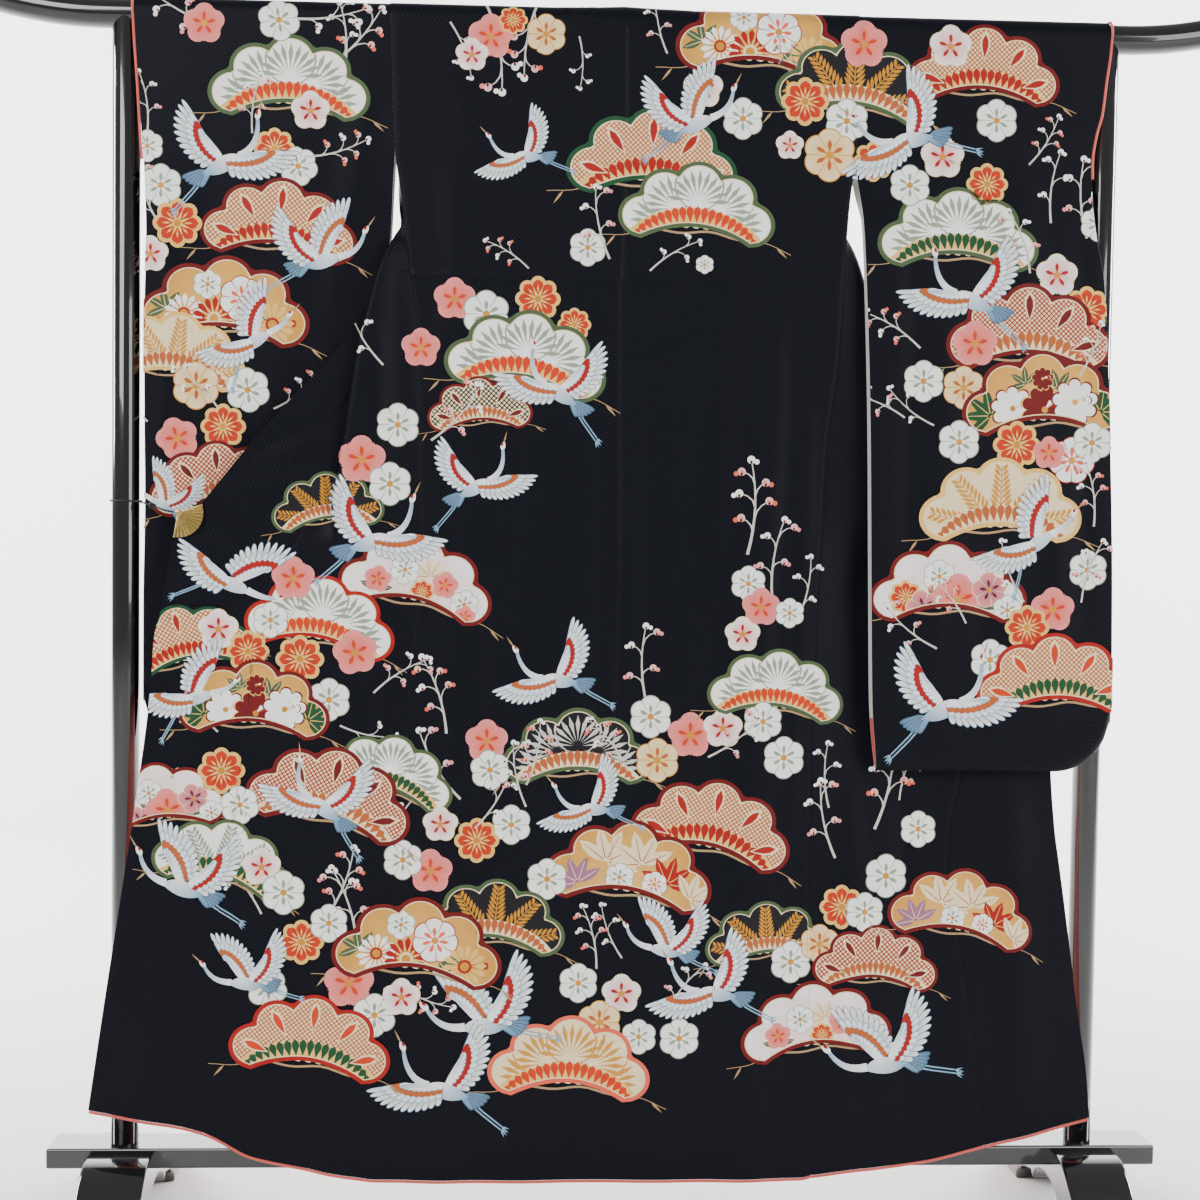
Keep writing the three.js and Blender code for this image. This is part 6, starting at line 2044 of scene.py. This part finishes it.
BACK_PATTERN = [
    (-190, 1690, 130, 190, "twig_a"), (-110, 1700, 120, 170, "twig_b"),
    (-235, 1655, 80, 200, "twig_c"), (-60, 1640, 70, 180, "twig_c"),
    (-180, 1637, 62, "salmon"), (-105, 1642, 56, "straw"),
    (-205, 1612, 46, "pink"), (-150, 1660, 40, "wheel"),
    (42, 1485, 245, -2, "lattice_green"),
    (110, 1575, 56, "pink"), (165, 1535, 58, "white"),
    (60, 1620, 80, 10, "twig_a"), (250, 1575, 80, 30, "twig_b"),
    (105, 1418, 225, -4, "needles_sage"),
    (-45, 1355, 52, "white"), (-15, 1340, 100, 10, "twig_a"),
    (40, 1325, 80, -60, "twig_c"), (115, 1335, 26, "white"),
    (-125, 1325, 70, 60, "twig_b"),
    (-225, 1282, 58, "salmon"), (-182, 1262, 66, "white"),
    (-112, 1284, 62, "wheel"), (-270, 1215, 54, "salmon"),
    (-62, 1250, 46, "wheel"),
    (-125, 1210, 232, -8, "needles_sage"),
    (-190, 1140, 150, 4, "lattice_night"),
    (-320, 1190, 90, 30, "twig_c"), (-300, 1110, 60, "white"),
    (-255, 1090, 100, -40, True, "twig_a"),
    (-348, 1062, 66, "salmon"), (-310, 1030, 60, "white"),
    (-50, 672, 215, "needles_night"),
    (-175, 680, 60, "salmon"), (-170, 640, 56, 10, "white"),
    (-230, 690, 110, 20, "twig_b"), (45, 730, 110, "twig_a"),
    (50, 715, 60, "white"), (105, 690, 64, "salmon"),
    (60, 655, 62, "straw"), (150, 700, 56, "pink"),
    (180, 940, 130, "twig_b"), (215, 880, 110, -10, "twig_a"),
    (182, 900, 50, "white"), (200, 868, 54, "salmon"),
    (175, 830, 50, "pink"), (250, 850, 90, -10, True, "twig_c"),
    (240, 860, 42, "white"),
    (225, 760, 200, -6, "needles_sage"),
    (205, 710, 56, "white"), (235, 660, 60, "white"),
    (140, 570, 235, -12, "lattice_orange"),
    (25, 510, 245, -8, "gold_leaves"),
    (-140, 565, 56, "white"), (-187, 543, 62, "wheel"),
    (-250, 500, 62, "salmon"), (-288, 515, 56, "white"),
    (-237, 565, 50, "pink"), (-90, 490, 58, "white"),
    (-210, 600, 110, 30, "twig_a"), (-120, 620, 90, -10, "twig_b"),
    (-160, 438, 205, -6, "ferns_night"),
    (-190, 560, 90, -30, True, "twig_c"), (-120, 590, 90, 10, "twig_a"),
    (20, 640, 90, 40, "twig_b"), (130, 660, 90, -50, True, "twig_a"),
    (-20, 365, 90, 15, "twig_b"), (75, 300, 90, -40, "twig_a"),
    (300, 590, 90, "twig_c"), (400, 600, 80, -20, True, "twig_b"),
    (-45, 345, 56, "white"), (15, 330, 56, "pink"),
    (40, 270, 50, "white"), (96, 268, 58, "white"),
    (15, 380, 80, 20, "twig_c"), (-15, 290, 62, "straw"),
    (-55, 240, 235, -4, "needles_cream"),
    (215, 415, 180, 4, "ferns_night"),
    (320, 452, 62, "wheel"), (382, 495, 62, "white"),
    (352, 445, 56, "white"), (427, 560, 52, "white"),
    (365, 560, 130, -10, "twig_b"), (250, 375, 60, "white"),
    (290, 400, 56, "straw"), (310, 520, 110, 10, "twig_a"),
    (370, 380, 185, -4, "lattice_red"),
    (490, 452, 215, -10, "gold_leaves"),
    (285, 292, 222, 6, "rose_fruit"),
    (-130, 1480, 130, 8, True, "crane_spread"),
    (100, 1530, 165, 16, "crane_raised"),
    (-80, 1160, 165, -26, True, "crane_spread"),
    (-195, 1030, 150, 22, "crane_spread"),
    (-78, 768, 160, 0, True, "crane_spread"),
    (-28, 590, 140, 4, True, "crane_spread"),
    (-175, 290, 200, 10, True, "crane_raised"), (-225, 200, 190, -10, True, "crane_spread"),
    (75, 395, 150, -4, True, "crane_raised"), (145, 335, 172, 0, True, "crane_spread"),
    (385, 235, 200, 14, True, "crane_raised"),
]

RIGHT_TOP = [
    (190, 1650, 245, -4, "gold_asters"),
    (318, 1590, 225, -4, "ferns_night"),
    (250, 1560, 66, "wheel"), (308, 1535, 62, "white"),
    (285, 1488, 74, "straw"), (230, 1500, 40, "pink"),
    (497, 1615, 222, -2, "lattice_orange"),
    (345, 1480, 56, "wheel"), (395, 1448, 58, "white"),
    (440, 1488, 62, "pink"), (502, 1452, 58, "wheel"),
    (515, 1540, 60, "white"), (560, 1480, 80, -30, "twig_b"),
    (330, 1640, 66, "salmon"), (450, 1640, 60, "pink"),
    (395, 1515, 185, 16, True, "crane_spread"),
]

RIGHT_SLEEVE = [
    (462, 1388, 232, -2, "needles_green"),
    (590, 1400, 100, -10, "twig_c"), (640, 1380, 110, "twig_a"),
    (655, 1400, 50, "white"), (598, 1328, 60, "pink"),
    (640, 1282, 64, "wheel"), (410, 1225, 90, 60, "twig_b"),
    (560, 1255, 240, "lattice_red"),
    (485, 1232, 64, "salmon"), (415, 1180, 58, "white"),
    (470, 1172, 60, "straw"),
    (580, 1165, 235, 2, "gold_peonies"),
    (465, 1098, 60, "white"), (545, 1095, 66, "wheel"),
    (622, 1075, 66, "ringed"), (650, 1100, 56, "white"),
    (430, 1120, 80, 50, "twig_c"), (590, 1085, 46, "salmon"),
    (525, 1018, 235, "ferns_gold"),
    (455, 905, 228, "rose_blossoms"),
    (648, 925, 56, "white"), (600, 870, 62, "salmon"),
    (655, 985, 90, 10, "twig_b"), (560, 880, 90, 20, "twig_c"),
    (440, 815, 90, 50, "twig_a"), (560, 1330, 90, 20, True, "twig_a"),
    (390, 1130, 80, 70, True, "twig_a"), (630, 1190, 80, -20, "twig_b"),
    (640, 880, 90, -20, "twig_a"), (565, 845, 62, "wheel"),
    (515, 800, 58, "white"), (480, 850, 80, 40, "twig_b"),
    (605, 780, 228, 2, "lattice_leafy"),
    (482, 1295, 185, -16, True, "crane_spread"),
    (575, 965, 165, 26, "crane_turning"),
    (450, 735, 195, 18, "crane_spread"),
]


# ---- Studio -----------------------------------------------------------------------------

def aim(position, target):
    way = Vector(target) - Vector(position)
    return way.to_track_quat("-Z", "Y").to_matrix().to_4x4()


def add_light(name, position, target, size, energy, tone=(1, 1, 1)):
    data = bpy.data.lights.new(name, "AREA")
    data.shape = "RECTANGLE"
    data.size, data.size_y = size
    data.energy = energy
    data.color = tone
    light = bpy.data.objects.new(name, data)
    light.matrix_world = Matrix.Translation(position) @ aim(position, target)
    bpy.context.scene.collection.objects.link(light)


def make_studio():
    stage = bpy.context.scene.furisode_stage
    half = stage.floor_size / 2
    depth = [(-half, 0)] + [
        (3.2 + 1.6 * math.sin(a), 1.6 - 1.6 * math.cos(a)) for a in np.linspace(0, math.pi / 2, 16)
    ] + [(4.8, 7.0)]
    vertices = [(x, y, z) for y, z in depth for x in (-half, half)]
    faces = [(2 * i, 2 * i + 1, 2 * i + 3, 2 * i + 2) for i in range(len(depth) - 1)]
    floor = new_object("studio_floor", vertices, faces)
    floor.data.materials.append(material("studio_floor"))
    world = bpy.data.worlds.new("studio")
    world.use_nodes = True
    world.node_tree.nodes["Background"].inputs[0].default_value = (0.93, 0.95, 1.0, 1)
    world.node_tree.nodes["Background"].inputs[1].default_value = 0.35
    bpy.context.scene.world = world
    add_light("key", (-2.4, -3.4, 3.2), (0, 0, 0.95), (2.4, 2.4), 150)
    add_light("fill", (2.8, -3.2, 1.8), (0, 0, 0.9), (2.0, 2.6), 84)
    add_light("backdrop_left", (-3.4, 1.0, 2.6), (-1.2, 4.8, 1.4), (1.6, 2.6), 640)
    add_light("backdrop_right", (3.4, 1.0, 2.6), (1.2, 4.8, 1.4), (1.6, 2.6), 640)


def add_camera():
    stage = bpy.context.scene.furisode_stage
    cy, sy = math.cos(stage.yaw), math.sin(stage.yaw)
    forward = Vector((sy * math.cos(stage.pitch), cy * math.cos(stage.pitch), -math.sin(stage.pitch)))
    right = Vector((cy, -sy, 0))
    up = right.cross(forward)
    cr, sr = math.cos(stage.roll), math.sin(stage.roll)
    rolled_right = right * cr + up * sr
    rolled_up = up * cr - right * sr
    data = bpy.data.cameras.new("camera")
    data.sensor_width = 36
    data.lens = stage.lens
    camera = bpy.data.objects.new("camera", data)
    frame_matrix = Matrix((rolled_right, rolled_up, -forward)).transposed().to_4x4()
    camera.matrix_world = Matrix.Translation(stage.eye) @ frame_matrix
    bpy.context.scene.collection.objects.link(camera)
    bpy.context.scene.camera = camera


# ---- Operators --------------------------------------------------------------------------

class FURISODE_OT_body(bpy.types.Operator):
    """Add back, fronts, overlaps and collar"""

    bl_idname = "furisode.body"
    bl_label = "Body"

    def execute(self, context):
        for side in SIDES:
            make_body(side)
        return {"FINISHED"}


class FURISODE_OT_sleeves(bpy.types.Operator):
    """Add both sleeves"""

    bl_idname = "furisode.sleeves"
    bl_label = "Sleeves"

    def execute(self, context):
        for side in SIDES:
            make_sleeve(side)
        return {"FINISHED"}


class FURISODE_OT_pattern(bpy.types.Operator):
    """Lay the dyed pattern on the silk"""

    bl_idname = "furisode.pattern"
    bl_label = "Pattern"

    def execute(self, context):
        drawings = make_drawings()
        cloths = ("panel_back_", "panel_front_", "panel_okumi_", "band_collar_")
        body = [cloth + side for side in SIDES for cloth in cloths]
        make_pattern("pattern_left_sleeve", ["sleeve_bag_left"], LEFT_SLEEVE, drawings)
        make_pattern("pattern_left_front", body, LEFT_FRONT, drawings)
        make_pattern("pattern_back", body, BACK_PATTERN, drawings)
        make_pattern("pattern_right_top", ["panel_back_right", "sleeve_bag_right"], RIGHT_TOP, drawings)
        make_pattern("pattern_right_sleeve", ["sleeve_bag_right"], RIGHT_SLEEVE, drawings)
        return {"FINISHED"}


class FURISODE_OT_stand(bpy.types.Operator):
    """Add the lacquered stand"""

    bl_idname = "furisode.stand"
    bl_label = "Stand"

    def execute(self, context):
        make_stand()
        return {"FINISHED"}


class FURISODE_OT_clip(bpy.types.Operator):
    """Add the fan clip and its cord"""

    bl_idname = "furisode.clip"
    bl_label = "Clip"

    def execute(self, context):
        make_fan()
        make_jaw()
        make_cord()
        return {"FINISHED"}


class FURISODE_OT_studio(bpy.types.Operator):
    """Add the floor, lights and camera"""

    bl_idname = "furisode.studio"
    bl_label = "Studio"

    def execute(self, context):
        make_studio()
        add_camera()
        return {"FINISHED"}


STEPS = (
    FURISODE_OT_body, FURISODE_OT_sleeves, FURISODE_OT_pattern,
    FURISODE_OT_stand, FURISODE_OT_clip, FURISODE_OT_studio,
)


class FURISODE_PT_panel(bpy.types.Panel):
    """Lists the steps and their settings"""

    bl_idname = "FURISODE_PT_panel"
    bl_label = "Furisode"
    bl_space_type = "VIEW_3D"
    bl_region_type = "UI"
    bl_category = "Furisode"

    def draw(self, context):
        layout = self.layout
        for group, kind in SETTINGS:
            box = layout.box()
            for name in kind.__annotations__:
                box.prop(getattr(context.scene, group), name)
        for step in STEPS:
            layout.operator(step.bl_idname)


SETTINGS = (
    ("furisode_cloth", ClothSettings),
    ("furisode_stand", StandSettings),
    ("furisode_stage", StageSettings),
)
CLASSES = (*(group for _, group in SETTINGS), *STEPS, FURISODE_PT_panel)


def register():
    for item in CLASSES:
        bpy.utils.register_class(item)
    for name, group in SETTINGS:
        setattr(bpy.types.Scene, name, bpy.props.PointerProperty(type=group))


def unregister():
    for name, _ in SETTINGS:
        delattr(bpy.types.Scene, name)
    for item in reversed(CLASSES):
        bpy.utils.unregister_class(item)


def main():
    register()
    for step in STEPS:
        getattr(bpy.ops.furisode, step.bl_idname.split(".")[1])()


if __name__ == "__main__":
    main()
